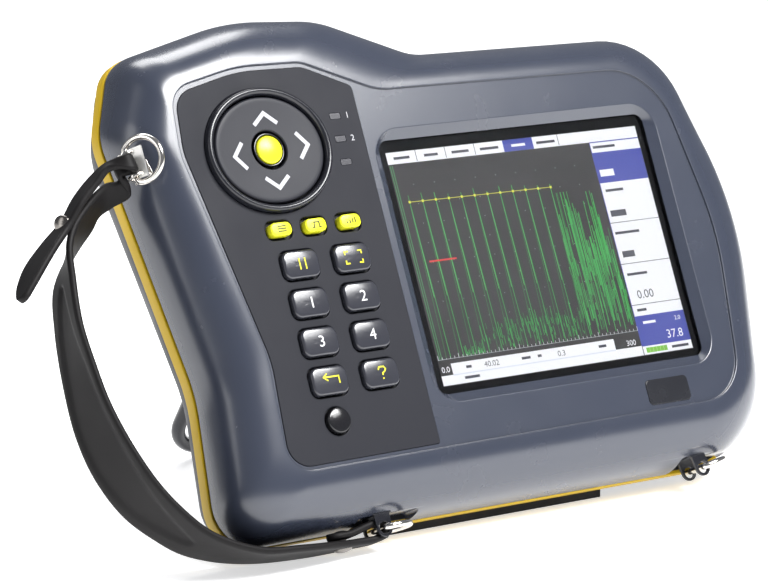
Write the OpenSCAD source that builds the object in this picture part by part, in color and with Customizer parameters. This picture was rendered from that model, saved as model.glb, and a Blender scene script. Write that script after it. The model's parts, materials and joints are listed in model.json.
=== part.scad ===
// Portable ultrasonic flaw detector: a pillow-shaped moulded case with a
// keypad and four-way pad on the left, a colour display on the right, a
// hand strap on D-rings and a wire stand that leans it back.

/* [Case] */
// Width of the case over its bulges
case_w = 239; // [220:1:260]
// Depth of the front shell, from its face to the seam
front_depth = 20; // [18:0.5:24]
// Depth of the rounded edge of the rear shell
rear_round = 19; // [16:0.5:22]
// Depth of the battery housing behind the rounded edge
housing_depth = 18; // [16:0.5:22]
// Thickness of the face of the front shell
face_t = 4.6; // [4.2:0.1:5.4]
// Angle at which the stand leans the case back
lean = 25; // [20:1:30]

/* [Seam] */
// Width of the yellow bumper band
band_w = 5; // [4:0.5:7]
// Width of each black gasket beside the band
gasket_w = 1; // [0.6:0.1:1.5]
// How far each gasket lies below the band
gasket_sink = 1; // [0.5:0.1:1.5]

/* [Keypad] */
// Thickness of the keypad panel
panel_t = 1.6; // [1.2:0.1:2]
// How far the panel stands proud of the face
panel_proud = 0.3; // [0.1:0.1:0.5]
// Half width of the four-way pad
pad_rx = 20.2; // [18:0.1:21]
// Half height of the four-way pad
pad_rz = 17.8; // [16:0.1:19]
// Travel of each key
key_travel = 0.8; // [0.5:0.1:0.9]
// Width of a large key
key_w = 13.4; // [11:0.1:14]
// Height of a large key
key_h = 9.2; // [8:0.1:10]
// Width of a yellow key
small_w = 8; // [7:0.1:10]
// Height of a yellow key
small_h = 4.5; // [4:0.1:6]
// Radius of the round button at the bottom of the keypad
power_r = 4.2; // [3.5:0.1:4.6]
// Radius of the button in the middle of the pad
ok_r = 4.7; // [4:0.1:5]

/* [Display] */
// Width of the display opening
screen_w = 110.5; // [104:0.5:112]
// Height of the display opening
screen_h = 86.8; // [80:0.5:88]
// Depth of the bevel round the display
bevel_d = 2.4; // [1.5:0.1:3]
// Width of the bevel round the display
bevel_w = 3.2; // [2:0.1:4]

/* [Strap and rings] */
// Diameter of the ring wire
ring_wire = 2; // [1.8:0.1:2.2]
// Thickness of the strap
strap_t = 2.4; // [2:0.1:2.6]

/* [Stand] */
// Diameter of the stand wire
stand_wire = 5; // [4:0.5:5]
// Length of the stand from its pivot to its foot
stand_len = 84; // [80:0.5:86]
// Width of the stand between its arms
stand_w = 104; // [90:1:110]

/* [Sockets] */
// Outer radius of a probe socket
socket_r = 4.8; // [4.5:0.1:5]
// Free length of a probe socket above its nut
socket_len = 9; // [8:0.5:10]

/* [Hidden] */

// Facets of a turned piece
$fn = 48;
// Points on each rounded corner of a long outline
corner_steps = 6;
// Rings of the rounded edge of a shell
edge_steps = 8;
// One overrun for every cut
over = 1;
// Gap between fixed pieces that are laid into each other
seat_gap = 0.1;
// Gap round a key in its hole
key_gap = 0.3;
// The outlines are drawn in this many equal shares of the case width
width_shares = 239;
u = case_w / width_shares;
function fit(c) = c * u;

// Corners of the case at its seam: x, z and radius, clockwise from the lower left
body_shares = [[-112.4, 0, 14], [-107, 51, 60], [-120, 138, 21], [-110.6, 162, 13],
    [-66, 172.4, 80], [-32, 170.2, 41], [3.4, 155.3, 25], [101, 154, 29],
    [123.3, 89, 120], [105.4, 0, 34]];
// Corners of the flat face, in the same order
face_shares = [[-92.6, 18.2, 9], [-90.6, 57, 40], [-104.4, 125, 24], [-102.6, 147, 10],
    [-76, 152.6, 60], [-51.4, 152.2, 13], [-24, 140.4, 24], [90.5, 139.2, 24],
    [100.5, 78.4, 100], [92.4, 19.6, 18]];
// Corners of the keypad panel
panel_shares = [[-91.4, 20, 7.5], [-89, 55, 38], [-102.6, 125.5, 22], [-100.8, 145, 8.5],
    [-76, 150.6, 58], [-51.2, 150.2, 10], [-33.8, 142.3, 2.5], [-33.8, 20.6, 1]];
body_corners = fit(body_shares);
face_corners = fit(face_shares);
panel_corners = fit(panel_shares);

// Depth stations, from the face towards the back
rim_y = -0.8 * u;
band_y = front_depth + gasket_w;
rear_y = band_y + band_w + gasket_w;
back_y = rear_y + rear_round;
housing_y = back_y + housing_depth;

// Plane geometry: a corner list becomes an outline with true tangents
function flat(p) = [p[0], p[1]];
function unit(v) = v / norm(v);
function left_of(v) = [-v[1], v[0]];
function corner_turn(a, b, c) = sign(cross(b - a, c - b));
function grown(c, d) = [for (i = [0 : len(c) - 1])
    let (n = len(c), a = flat(c[(i + n - 1) % n]), b = flat(c[i]), e = flat(c[(i + 1) % n]),
        m = left_of(unit(b - a)), q = left_of(unit(e - b)), s = corner_turn(a, b, e),
        p = b + (m + q) * d / (1 + m * q))
    [p[0], p[1], max(c[i][2] - s * d, over / 10)]];
function fillet(a, b, c, r, steps) =
    let (u = unit(a - b), v = unit(c - b), half = acos(u * v) / 2,
        m = b + unit(u + v) * r / sin(half),
        p = b + u * r / tan(half) - m, q = b + v * r / tan(half) - m,
        from = atan2(p[1], p[0]), turn = (atan2(q[1], q[0]) - from + 540) % 360 - 180)
    [for (k = [0 : steps]) m + r * [cos(from + turn * k / steps), sin(from + turn * k / steps)]];
function outline(c, steps = corner_steps) = [for (i = [0 : len(c) - 1])
    each fillet(flat(c[(i + len(c) - 1) % len(c)]), flat(c[i]), flat(c[(i + 1) % len(c)]),
        c[i][2], steps)];
function box_corners(x, z, w, h, r) = [[x - w / 2, z - h / 2, r], [x - w / 2, z + h / 2, r],
    [x + w / 2, z + h / 2, r], [x + w / 2, z - h / 2, r]];
function oval(x, z, rx, rz, steps = 72) =
    [for (k = [0 : steps - 1]) [x + rx * cos(360 * k / steps), z + rz * sin(360 * k / steps)]];
function blend(a, b, s) = [for (i = [0 : len(a) - 1]) a[i] + (b[i] - a[i]) * s];
function at_depth(c, y) = [for (p = c) [p[0], y, p[1]]];

// A plate with a face outline in x and z, between two depths
module slab(points, y0, y1) {
    translate([0, y1, 0])
        rotate([90, 0, 0])
            linear_extrude(y1 - y0)
                polygon(points);
}

// A closed surface through rings of points, first ring in front
module skin(rings) {
    n = len(rings[0]);
    m = len(rings);
    sides = [for (k = [0 : m - 2], i = [0 : n - 1], f = [0, 1])
        let (j = (i + 1) % n, a = k * n + i, b = k * n + j)
        f == 0 ? [a, a + n, b + n] : [a, b + n, b]];
    front = [[for (i = [0 : n - 1]) i]];
    back = [[for (i = [n - 1 : -1 : 0]) (m - 1) * n + i]];
    polyhedron([for (r = rings) each r], concat(front, sides, back), convexity = 6);
}

// A turned piece along depth: radius and two depths
module post(x, z, r, y0, y1) {
    translate([x, y1, z])
        rotate([90, 0, 0])
            cylinder(r = r, h = y1 - y0);
}

// A straight round pin between two points
module rod(a, b, r) {
    v = b - a;
    translate(a)
        rotate([0, acos(v[2] / norm(v)), atan2(v[1], v[0])])
            cylinder(r = r, h = norm(v));
}

// Everything is drawn upright with its face at y = 0, then leaned back so
// that it stands on the middle of its foot bar
foot_x = 45 * u;
foot_y = 35 * u;
foot_z = 1.9 * u;
foot_drop = 1.5 * u;
sole_y = foot_y * cos(lean) + foot_z * sin(lean);
sole_z = foot_z * cos(lean) - foot_y * sin(lean) - foot_drop;
module in_place() {
    translate([0, -sole_y, -sole_z])
        rotate([-lean, 0, 0])
            children();
}

// Shell surfaces: quarter ellipses from the face outline out to the seam
seam_line = outline(body_corners);
face_line = outline(face_corners);
back_line = outline(grown(face_corners, -1.2 * u));
rear_line = outline(grown(body_corners, -gasket_sink));
hollow_in = 12.5 * u;
hollow_line = outline(grown(body_corners, -hollow_in));
lip_w = 0.4 * u;
band_proud = 0.3 * u;
taper_share = 0.25;
rear_rings = [for (k = [0 : edge_steps])
    let (t = 90 * k / edge_steps)
    at_depth(blend(rear_line, back_line, taper_share * sin(t) + (1 - taper_share) * (1 - cos(t))),
        rear_y + rear_round * sin(t))];
foot_half = 7 * u;

// Where the case screws, the main bosses and the standoffs stand: x and z
screw_at = fit([[-85.5, 36], [-95.5, 126], [91, 50], [91.3, 112]]);
screw_r = 1.5 * u;
screw_fit = 0.1 * u;
head_r = 2.9 * u;
head_h = 2.4 * u;
boss_r = 3.9 * u;
screw_tip = 8 * u;
standoff_at = fit([[-62, 34], [-70, 118], [66, 34], [14, 126]]);
standoff_r = 3 * u;
board_y = 30 * u;
board_t = 1.6 * u;
rear_floor = 43 * u;

// Ring lugs: web plate with two ears that hold the bar of a D-ring
lug_rise = 4.9 * u;
lug_web = [7, 9.4] * u;
lug_bed = 2 * u;
lug_top = 0.3 * u;
ear_in = 3.5 * u;
ear_t = 1 * u;
ear_r = 2.9 * u;
ear_hole = 1.95 * u;
ring_r = 7.2 * u;
ring_chord = 4.1 * u;
ring_corner = 1.6 * u;
upper_lug = [-115.2, 7.5, 124.5] * u;
upper_turn = [90, 0, -57.3];
upper_skew = 13;
lower_lug = [-56.6, 13.2, 2.9] * u;
corner_lug = [73.6, 12.4, 3.7] * u;
corner_tilt = 10;
recess_floor = 2.6 * u;
recess_x = [-65, -41] * u;
recess_y = 5.6 * u;
corner_recess_x = [67, 91] * u;
corner_floor = 3.4 * u;

module at_upper() {
    translate(upper_lug)
        rotate(upper_turn)
            rotate([0, 0, upper_skew])
                children();
}
module at_lower() {
    translate(lower_lug)
        rotate([180, 0, 0])
            children();
}
module at_corner() {
    translate(corner_lug)
        rotate([180, -corner_tilt, 0])
            children();
}

// Keys: centre, width, height and radius of each cap, all as x, z
small_z = 96.9 * u;
small_r = 1.9 * u;
large_r = 2.6 * u;
large_x = [-70.3, -50.65] * u;
large_z = [84.75, 71.84, 58.93, 46.02] * u;
small_x = [-74.75, -61.5, -48.2] * u;
well_gap = 0.55 * u;
small_gap = 1 * u;
flange_w = 0.8 * u;
flange_t = 0.6 * u;
flange_y = face_t + key_gap;
stop_y = flange_y + flange_t + key_travel + key_gap;
key_top = 2.4 * u;
pillow_r = 34 * u;
mat_y = stop_y + 1.4 * u;
pcb_y = mat_y + board_t;
mat_corners = fit([[-87, 27, 4], [-96.5, 140, 6], [-36.5, 140, 3], [-36.5, 27, 3]]);
power_at = [-70.3, 33] * u;
pad_at = [-71.5, 123.4] * u;
lens_x = -43.1 * u;
lens_z = [132.6, 124.8, 116.9] * u;
lens = [4.2, 2.1, 0.6] * u;

// Four-way pad: ring, gimbal and disc on the collar of the middle button
ring_rx = 23.3 * u;
ring_rz = 20.9 * u;
pad_gap = 0.5 * u;
pad_floor = 3.6 * u;
pad_top = 1.7 * u;
pad_under = 0.6 * u;
collar_r = 5.7 * u;
collar_top = 1.2 * u;
gimbal_y = [1.3, 2.8] * u;
gimbal_in = 7.3 * u;
gimbal_out = 9 * u;
collar_base_r = 6.9 * u;
collar_base_y = 1.15 * u;
trunnion_r = 0.5 * u;
trunnion_fit = 0.04 * u;
skirt_in = 9.4 * u;
skirt_out = 10.9 * u;
disc_hole_r = collar_r + key_gap + 0.5 * u;
trunnion_y = (gimbal_y[0] + gimbal_y[1]) / 2;
trunnion_in = 6.1 * u;
trunnion_out = 10.3 * u;

// Display
screen_at = [27.6, 79.8] * u;
screen_r = 3.5 * u;
bevel_r = 10 * u;
window_rim = 2.2 * u;
window_t = 1.7 * u;
lcd_y = 4.5 * u;
lcd_t = 6.2 * u;
lcd_rim = 1.2 * u;
bracket_t = 1.1 * u;
bracket_gap = 0.4 * u;
screen_corners = box_corners(screen_at[0], screen_at[1], screen_w, screen_h, screen_r);
bevel_corners = box_corners(screen_at[0], screen_at[1], screen_w + 2 * bevel_w,
    screen_h + 2 * bevel_w, bevel_r);
badge_at = [62, 25.8] * u;
badge = [17.8, 8.6, 1.6] * u;
badge_t = 1 * u;
badge_proud = 0.35 * u;

// Rear: battery housing with its bay and cover, connector bay, stand
housing_corners = fit([[-78, 28, 9], [-80, 128, 12], [12, 128, 6], [12, 99, 6], [82, 99, 12], [80, 28, 9]]);
housing_edge = 2 * u;
bay_at = [0, 60] * u;
bay = [84, 50] * u;
bay_r = 2 * u;
bay_floor = 48.5 * u;
contact_x = [-30, -20] * u;
contact_z = 60 * u;
contact_r = 1.6 * u;
cell_gap = 0.5 * u;
cover_rim = 5 * u;
cover_t = 2.4 * u;
cover_screw = [44.5, 24] * u;
cover_screw_r = 1.2 * u;
cover_head_r = 2.3 * u;
cover_head_h = 1.3 * u;
notch_x = [22, 96] * u;
notch_z = 133 * u;
notch_y = 33.5 * u;
socket_x = [40, 78] * u;
socket_y = 40.5 * u;
nut_r = 6 * u;
nut_h = 2.2 * u;
tip_r = 1.6 * u;
socket_bore = 3.9 * u;
socket_root = 6 * u;
data_x = 59 * u;
data = [13, 6] * u;
data_y = 39.5 * u;
data_len = 4.6 * u;
data_wall = 0.8 * u;

flap_t = 1.6 * u;
flap = [18, 8] * u;
flap_y = 44.3 * u;
flap_lift = 0.3 * u;
flap_z = notch_z + data_len + flap_lift + flap_t / 2;
knuckle_r = 1.5 * u;
hinge_ear = 1.6 * u;
flap_pin_r = 0.8 * u;
flap_fit = 0.05 * u;
stand_y = housing_y + stand_wire / 2 + key_gap;
stand_z = 95 * u;
stand_fit = 0.06 * u;
lug_x = [41, 49] * u;
lug_screw_z = [103] * u;
sleeve_r = 4.2 * u;
sleeve_half = 30 * u;
pivot_h = stand_z * cos(lean) - stand_y * sin(lean) - sole_z;
open_angle = lean + 90 - asin((pivot_h - sleeve_r) / stand_len);

// Middle lines of the strap, near edge and far edge, from the tip of the
// upper tail through both loops to the lower tail
upper_bar = [-119.3, 4.95, 124.5];
bar_dir = [-0.225, 0, 0.974];
loop_out = [-0.84, -0.54, 0];
loop_bow = [0.54, -0.84, 0];
tongue_half_share = 3.1;
loop_share = 2.35;
function loop_pair(a, s) = [for (e = [-s, s])
    upper_bar + e * bar_dir + loop_share * (cos(a) * loop_out + sin(a) * loop_bow)];
lower_bar = [-56.6, 13.2, -2];
function low_pair(a, s) = [for (e = [-s, s])
    lower_bar + [loop_share * sin(a), e, -loop_share * cos(a)]];
strap_shares = concat(
    [[[-166, 9, 85.5], [-164.5, 15.5, 89]],
    [[-160, 8, 92], [-159, 17, 97]],
    [[-150.9, 8, 101.6], [-150.4, 16.5, 105]],
    [[-140.4, 8, 112.2], [-140.6, 15, 117.6]],
    [[-130, 7, 119], [-131.4, 11, 126]]],
    [for (a = [0 : 36 : 180]) loop_pair(a, tongue_half_share)],
    [[[-121.4, 12, 120.2], [-122.8, 13.2, 128]],
    [[-128.6, 14, 117.4], [-129.4, 19, 126]],
    [[-135, 13.2, 112.4], [-134.8, 21, 121]],
    [[-140.6, 11.5, 106.6], [-139.4, 23, 113]],
    [[-144.6, 9.5, 99.6], [-143, 23.6, 103]],
    [[-147, 8, 91.4], [-145.3, 24, 92]],
    [[-148.6, 7, 78], [-148.2, 24.5, 79]],
    [[-147.6, 6.5, 64], [-149.6, 25, 61.5]],
    [[-145.9, 5.5, 50], [-149.3, 25, 44]],
    [[-141.5, 4.5, 34.5], [-145.6, 25, 29]],
    [[-135.8, 4, 21.8], [-138.8, 25, 17]],
    [[-130, 3.6, 13], [-131.3, 25, 9.8]],
    [[-123.2, 3.6, 5.8], [-123.4, 25, 4]],
    [[-114.6, 3.6, 0.6], [-114.6, 25, 0.4]],
    [[-105, 4, -2.8], [-105, 25, -2]],
    [[-90, 5, -4.2], [-90.5, 25, -3.8]],
    [[-78, 7, -4.7], [-78, 23, -4.5]],
    [[-67, 9.5, -4.9], [-66.5, 18.5, -4.8]]],
    [for (a = [0 : 36 : 180]) low_pair(a, tongue_half_share)],
    [[[-62, 10, -0.4], [-62, 16.4, -0.4]],
    [[-68, 10, -1.7], [-68, 16.4, -1.7]],
    [[-76, 10, -1.7], [-76, 16.4, -1.7]]]);
stud_shares = [[[-147.6, 10.6, 109.4], [-137.6, 15.2, 110.6]], [[-71, 13.4, -7.2], [-71, 13.4, 0]]];
stud_head_r = 3 * u;
stud_head_h = 1.2 * u;
stud_r = 1.5 * u;

// A band of leather: stations of near and far edge, with eased edges
module band(stations, t) {
    n = len(stations);
    rings = [for (i = [0 : n - 1])
        let (p = stations[max(i - 1, 0)], q = stations[min(i + 1, n - 1)], s = stations[i],
            run = q[0] + q[1] - p[0] - p[1], w = unit(s[1] - s[0]),
            out = unit(cross(run, w)) * t / 2, ease = w * t / 4)
        [s[0] - out + ease, s[0] - out / 2, s[0] + out / 2, s[0] + out + ease,
            s[1] + out - ease, s[1] + out / 2, s[1] - out / 2, s[1] - out - ease]];
    skin(rings);
}

// A closed ring of round wire through points that lie in one plane
module wire_ring(path, r, sides = 10) {
    n = len(path);
    rings = [for (i = [0 : n - 1])
        let (run = unit(path[(i + 1) % n] - path[(i + n - 1) % n]), side = left_of(run))
        for (k = [0 : sides - 1])
            let (a = 360 * k / sides)
            [path[i][0] + side[0] * r * cos(a), path[i][1] + side[1] * r * cos(a), r * sin(a)]];
    polyhedron(rings, [for (i = [0 : n - 1], k = [0 : sides - 1], f = [0, 1])
        let (a = i * sides + k, b = i * sides + (k + 1) % sides,
            c = ((i + 1) % n) * sides + k, d = ((i + 1) % n) * sides + (k + 1) % sides)
        f == 0 ? [a, b, d] : [a, d, c]], convexity = 4);
}

// The outline of a D-ring: a straight bar, two tight corners and the bow
module d_ring() {
    rise = sqrt(pow(ring_r - ring_corner, 2) - pow(ring_chord - ring_corner, 2));
    swing = atan2(rise, ring_corner - ring_chord);
    upper = [for (k = [0 : 3])
        let (a = 180 - (180 - swing) * k / 4)
        [ring_corner + ring_corner * cos(a), rise + ring_corner * sin(a)]];
    bow = [for (k = [0 : 24])
        let (a = swing - 2 * swing * k / 24)
        [ring_chord + ring_r * cos(a), ring_r * sin(a)]];
    lower = [for (k = [3 : -1 : 0]) [upper[k][0], -upper[k][1]]];
    wire_ring(concat(upper, bow, lower), ring_wire / 2);
}

module ring_lug() {
    translate([-lug_web[0] / 2, -lug_web[1] / 2, -lug_bed])
        cube([lug_web[0], lug_web[1], lug_bed + lug_top]);
    for (e = [-ear_in - ear_t, ear_in])
        difference() {
            union() {
                translate([0, e + ear_t, lug_rise])
                    rotate([90, 0, 0])
                        cylinder(r = ear_r, h = ear_t);
                translate([-ear_r, e, 0])
                    cube([2 * ear_r, ear_t, lug_rise]);
            }
            translate([0, e + ear_t + over, lug_rise])
                rotate([90, 0, 0])
                    cylinder(r = ear_hole, h = ear_t + 2 * over);
        }
}

module front_shell() {
    sunk_line = outline(grown(face_corners, -lip_w));
    rings = concat([at_depth([for (p = sunk_line) screen_at + (p - screen_at) / 10], 0),
        at_depth(sunk_line, 0), at_depth(sunk_line, rim_y)],
        [for (k = [0 : edge_steps])
            let (t = 90 * k / edge_steps)
            at_depth(blend(face_line, seam_line, sin(t)), rim_y + (front_depth - rim_y) * (1 - cos(t)))]);
    color([0.24, 0.27, 0.36])
        in_place()
            difference() {
                union() {
                    difference() {
                        skin(rings);
                        slab(hollow_line, face_t, front_depth + over);
                        slab(outline(grown(panel_corners, seat_gap)), -over, panel_t - panel_proud);
                        slab(oval(pad_at[0], pad_at[1], pad_rx + pad_gap, pad_rz + pad_gap), -over, pad_floor);
                        skin([at_depth(outline(grown(bevel_corners, over * bevel_w / bevel_d)), -over),
                            at_depth(outline(screen_corners), bevel_d)]);
                        slab(outline(screen_corners), -over, bevel_d + over);
                        slab(outline(grown(screen_corners, window_rim + seat_gap)), bevel_d, face_t + over);
                        slab(outline(box_corners(badge_at[0], badge_at[1], badge[0] + seat_gap,
                            badge[1] + seat_gap, badge[2])), -over, badge_t - badge_proud);
                        translate([recess_x[0], recess_y, -foot_x])
                            cube([recess_x[1] - recess_x[0], front_depth, foot_x + recess_floor]);
                        translate([corner_recess_x[0], recess_y, -foot_x])
                            cube([corner_recess_x[1] - corner_recess_x[0], front_depth, foot_x + corner_floor]);
                    }
                    post(pad_at[0], pad_at[1], collar_r, -collar_top, pad_floor + over / 2);
                    post(pad_at[0], pad_at[1], collar_base_r, collar_base_y, pad_floor + over / 2);
                    for (p = screw_at)
                        post(p[0], p[1], boss_r, face_t - over, front_depth);
                }
                post(pad_at[0], pad_at[1], ok_r + key_gap, -collar_top - over, face_t + over);
                for (e = [-1, 1])
                    rod([pad_at[0] + e * trunnion_in * 0.98, trunnion_y, pad_at[1]],
                        [pad_at[0] + e * gimbal_in, trunnion_y, pad_at[1]], trunnion_r + trunnion_fit);
                for (x = large_x, z = large_z)
                    slab(outline(box_corners(x, z, key_w + 2 * key_gap, key_h + 2 * key_gap,
                        large_r + key_gap)), -over, face_t + over);
                for (x = small_x)
                    slab(outline(box_corners(x, small_z, small_w + 2 * key_gap, small_h + 2 * key_gap,
                        small_r + key_gap)), -over, face_t + over);
                post(power_at[0], power_at[1], power_r + key_gap, -over, face_t + over);
                for (z = lens_z)
                    slab(outline(box_corners(lens_x, z, lens[0] + seat_gap, lens[1] + seat_gap,
                        lens[2])), -over, face_t + over);
                for (p = screw_at)
                    post(p[0], p[1], screw_r, screw_tip, front_depth + over);
                at_upper()
                    translate([-lug_web[0] / 2 - seat_gap / 2, -lug_web[1] / 2 - seat_gap / 2, -lug_bed])
                        cube([lug_web[0] + seat_gap, lug_web[1] + seat_gap, lug_bed + ear_r]);
                at_lower()
                    translate([-lug_web[0] / 2 - seat_gap / 2, -lug_web[1] / 2 - seat_gap / 2, -lug_bed])
                        cube([lug_web[0] + seat_gap, lug_web[1] + seat_gap, lug_bed + ear_r]);
                at_corner()
                    translate([-lug_web[0] / 2 - seat_gap / 2, -lug_web[1] / 2 - seat_gap / 2, -lug_bed])
                        cube([lug_web[0] + seat_gap, lug_web[1] + seat_gap, lug_bed + ear_r]);
            }
}

module rear_shell() {
    color([0.24, 0.27, 0.36])
        in_place()
            difference() {
                union() {
                    difference() {
                        union() {
                            skin(rear_rings);
                            slab(outline(housing_corners), back_y - over, housing_y - housing_edge);
                            slab(outline(grown(housing_corners, -housing_edge / 2)), back_y, housing_y);
                        }
                        difference() {
                            slab(hollow_line, rear_y - over, rear_floor);
                            translate([notch_x[0] - bracket_t * 2, notch_y - bracket_t * 2, notch_z - bracket_t * 2])
                                cube([notch_x[1] - notch_x[0] + bracket_t * 4, housing_y, foot_x]);
                        }
                        translate([notch_x[0], notch_y, notch_z])
                            cube([notch_x[1] - notch_x[0], housing_y, foot_x]);
                    }
                    for (p = screw_at)
                        post(p[0], p[1], boss_r, front_depth, rear_floor + over);
                    for (p = standoff_at)
                        post(p[0], p[1], standoff_r, board_y + board_t, rear_floor + over);
                    for (e = [-1, 1])
                        translate([data_x + e * (flap[0] / 2 - hinge_ear / 2) - hinge_ear / 2, flap_y - knuckle_r, notch_z - over])
                            cube([hinge_ear, 2 * knuckle_r, over + data_len + flap_lift + flap_t / 2 + knuckle_r]);
                }
                slab(outline(box_corners(bay_at[0], bay_at[1], bay[0], bay[1], bay_r)), bay_floor, housing_y + over);
                slab(outline(box_corners(bay_at[0], bay_at[1], bay[0] + 2 * cover_rim + seat_gap,
                    bay[1] + 2 * cover_rim + seat_gap, bay_r + cover_rim)), housing_y - cover_t, housing_y + over);
                for (ex = [-1, 1], ez = [-1, 1])
                    post(bay_at[0] + ex * cover_screw[0], bay_at[1] + ez * cover_screw[1], cover_screw_r,
                        bay_floor + cover_rim, housing_y);
                for (p = screw_at) {
                    post(p[0], p[1], screw_r + screw_fit, front_depth - over, back_y + over);
                    post(p[0], p[1], head_r + screw_fit, back_y - head_h, back_y + over);
                }
                for (x = contact_x)
                    post(x, contact_z, contact_r, rear_floor - over, bay_floor + over);
                for (x = socket_x)
                    translate([x, socket_y, notch_z - socket_root])
                        cylinder(r = socket_bore + seat_gap / 2, h = socket_root + over);
                translate([data_x - data[0] / 2 - seat_gap / 2, data_y - data[1] / 2 - seat_gap / 2, notch_z - socket_root])
                    cube([data[0] + seat_gap, data[1] + seat_gap, socket_root + over]);
                rod([data_x - flap[0], flap_y, flap_z], [data_x + flap[0], flap_y, flap_z], flap_pin_r);
                for (e = [-1, 1])
                    for (z = lug_screw_z)
                        post(e * (lug_x[0] + lug_x[1]) / 2, z, cover_screw_r, housing_y - cover_rim, housing_y + over);
            }
}

module ring_between(out_line, y0, y1) {
    difference() {
        slab(out_line, y0, y1);
        slab(hollow_line, y0 - over, y1 + over);
    }
}

module seam_band() {
    color([0.86, 0.86, 0.12])
        in_place()
            ring_between(outline(grown(body_corners, band_proud)), band_y, band_y + band_w);
}

module front_gasket() {
    color([0.05, 0.05, 0.06])
        in_place()
            ring_between(rear_line, front_depth, band_y);
}

module rear_gasket() {
    color([0.05, 0.05, 0.06])
        in_place()
            ring_between(outline(grown(body_corners, -2 * gasket_sink)), band_y + band_w, rear_y);
}

module keypad_panel() {
    color([0.2, 0.2, 0.24])
        in_place()
            difference() {
                slab(outline(panel_corners), -panel_proud, panel_t - panel_proud);
                slab(oval(pad_at[0], pad_at[1], ring_rx + seat_gap, ring_rz + seat_gap), -over, panel_t + over);
                for (x = large_x, z = large_z)
                    slab(outline(box_corners(x, z, key_w + 2 * well_gap, key_h + 2 * well_gap,
                        large_r + well_gap)), -over, panel_t + over);
                for (x = small_x)
                    slab(outline(box_corners(x, small_z, small_w + 2 * small_gap, small_h + 2 * small_gap,
                        small_r + well_gap)), -over, panel_t + over);
                post(power_at[0], power_at[1], power_r + well_gap, -over, panel_t + over);
                for (z = lens_z)
                    slab(outline(box_corners(lens_x, z, lens[0] + seat_gap, lens[1] + seat_gap,
                        lens[2])), -over, panel_t + over);
            }
}

module pad_ring() {
    section_shares = [[0, 0], [0, 1.6], [0.25, 2.35], [1.1, 2.8], [1.9, 2.55], [2.45, 1.7], [2.55, 0.6]];
    bed = panel_t - panel_proud;
    color([0.16, 0.17, 0.2])
        in_place()
            difference() {
                skin(concat([at_depth(oval(pad_at[0], pad_at[1], ring_rx, ring_rz), bed)],
                    [for (p = section_shares)
                        at_depth(oval(pad_at[0], pad_at[1], ring_rx - p[0] * u, ring_rz - p[0] * u), -p[1] * u)]));
                slab(oval(pad_at[0], pad_at[1], pad_rx + pad_gap, pad_rz + pad_gap), -over * 4, bed + over);
            }
}

module pad_pivot() {
    color([0.55, 0.56, 0.6])
        in_place() {
            difference() {
                post(pad_at[0], pad_at[1], gimbal_out, gimbal_y[0], gimbal_y[1]);
                post(pad_at[0], pad_at[1], gimbal_in, gimbal_y[0] - over, gimbal_y[1] + over);
            }
            for (e = [-1, 1]) {
                rod([pad_at[0] + e * trunnion_in, trunnion_y, pad_at[1]],
                    [pad_at[0] + e * (gimbal_in + gimbal_out) / 2, trunnion_y, pad_at[1]], trunnion_r);
                rod([pad_at[0], trunnion_y, pad_at[1] + e * trunnion_out],
                    [pad_at[0], trunnion_y, pad_at[1] + e * (gimbal_in + gimbal_out) / 2], trunnion_r);
            }
        }
}

module pad_disc() {
    color([0.22, 0.22, 0.25])
        in_place()
            difference() {
                union() {
                    skin([at_depth(oval(pad_at[0], pad_at[1], pad_rx, pad_rz), pad_under),
                        at_depth(oval(pad_at[0], pad_at[1], pad_rx, pad_rz), -pad_top * 0.55),
                        at_depth(oval(pad_at[0], pad_at[1], pad_rx - pad_gap * 0.4, pad_rz - pad_gap * 0.4), -pad_top * 0.85),
                        at_depth(oval(pad_at[0], pad_at[1], pad_rx - pad_gap * 1.4, pad_rz - pad_gap * 1.4), -pad_top)]);
                    post(pad_at[0], pad_at[1], skirt_out, 0, gimbal_y[1] - key_gap / 3);
                }
                post(pad_at[0], pad_at[1], skirt_in, pad_under, gimbal_y[1] + over);
                post(pad_at[0], pad_at[1], disc_hole_r, -pad_top - over, gimbal_y[1]);
                for (e = [-1, 1])
                    rod([pad_at[0], trunnion_y, pad_at[1] + e * gimbal_out],
                        [pad_at[0], trunnion_y, pad_at[1] + e * trunnion_out], trunnion_r + trunnion_fit);
            }
}

module ok_button() {
    dome_r = 13 * u;
    color([0.9, 0.9, 0.25])
        in_place() {
            intersection() {
                post(pad_at[0], pad_at[1], ok_r, -key_top, flange_y + over / 10);
                translate([pad_at[0], dome_r - key_top, pad_at[1]])
                    sphere(r = dome_r);
            }
            post(pad_at[0], pad_at[1], ok_r + flange_w, flange_y, flange_y + flange_t);
        }
}

// A key: cap with a cushion-shaped top, and the flange that keeps it in
module key_cap(x, z, w, h, r) {
    in_place() {
        intersection() {
            slab(outline(box_corners(x, z, w, h, r)), -key_top, flange_y + over / 10);
            translate([x - w, pillow_r - key_top, z])
                rotate([0, 90, 0])
                    cylinder(r = pillow_r, h = 2 * w, $fn = 180);
        }
        slab(outline(box_corners(x, z, w + 2 * flange_w, h + 2 * flange_w, r)), flange_y, flange_y + flange_t);
    }
}

module small_key(i) {
    color([0.9, 0.9, 0.25])
        key_cap(small_x[i], small_z, small_w, small_h, small_r);
}

module large_key(i, j) {
    color([0.3, 0.31, 0.34])
        key_cap(large_x[i], large_z[j], key_w, key_h, large_r);
}

module key_menu() {
    small_key(0);
}

module key_gate() {
    small_key(1);
}

module key_gain() {
    small_key(2);
}

module key_freeze() {
    large_key(0, 0);
}

module key_screen() {
    large_key(1, 0);
}

module key_1() {
    large_key(0, 1);
}

module key_2() {
    large_key(1, 1);
}

module key_3() {
    large_key(0, 2);
}

module key_4() {
    large_key(1, 2);
}

module key_recall() {
    large_key(0, 3);
}

module key_help() {
    large_key(1, 3);
}

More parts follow.
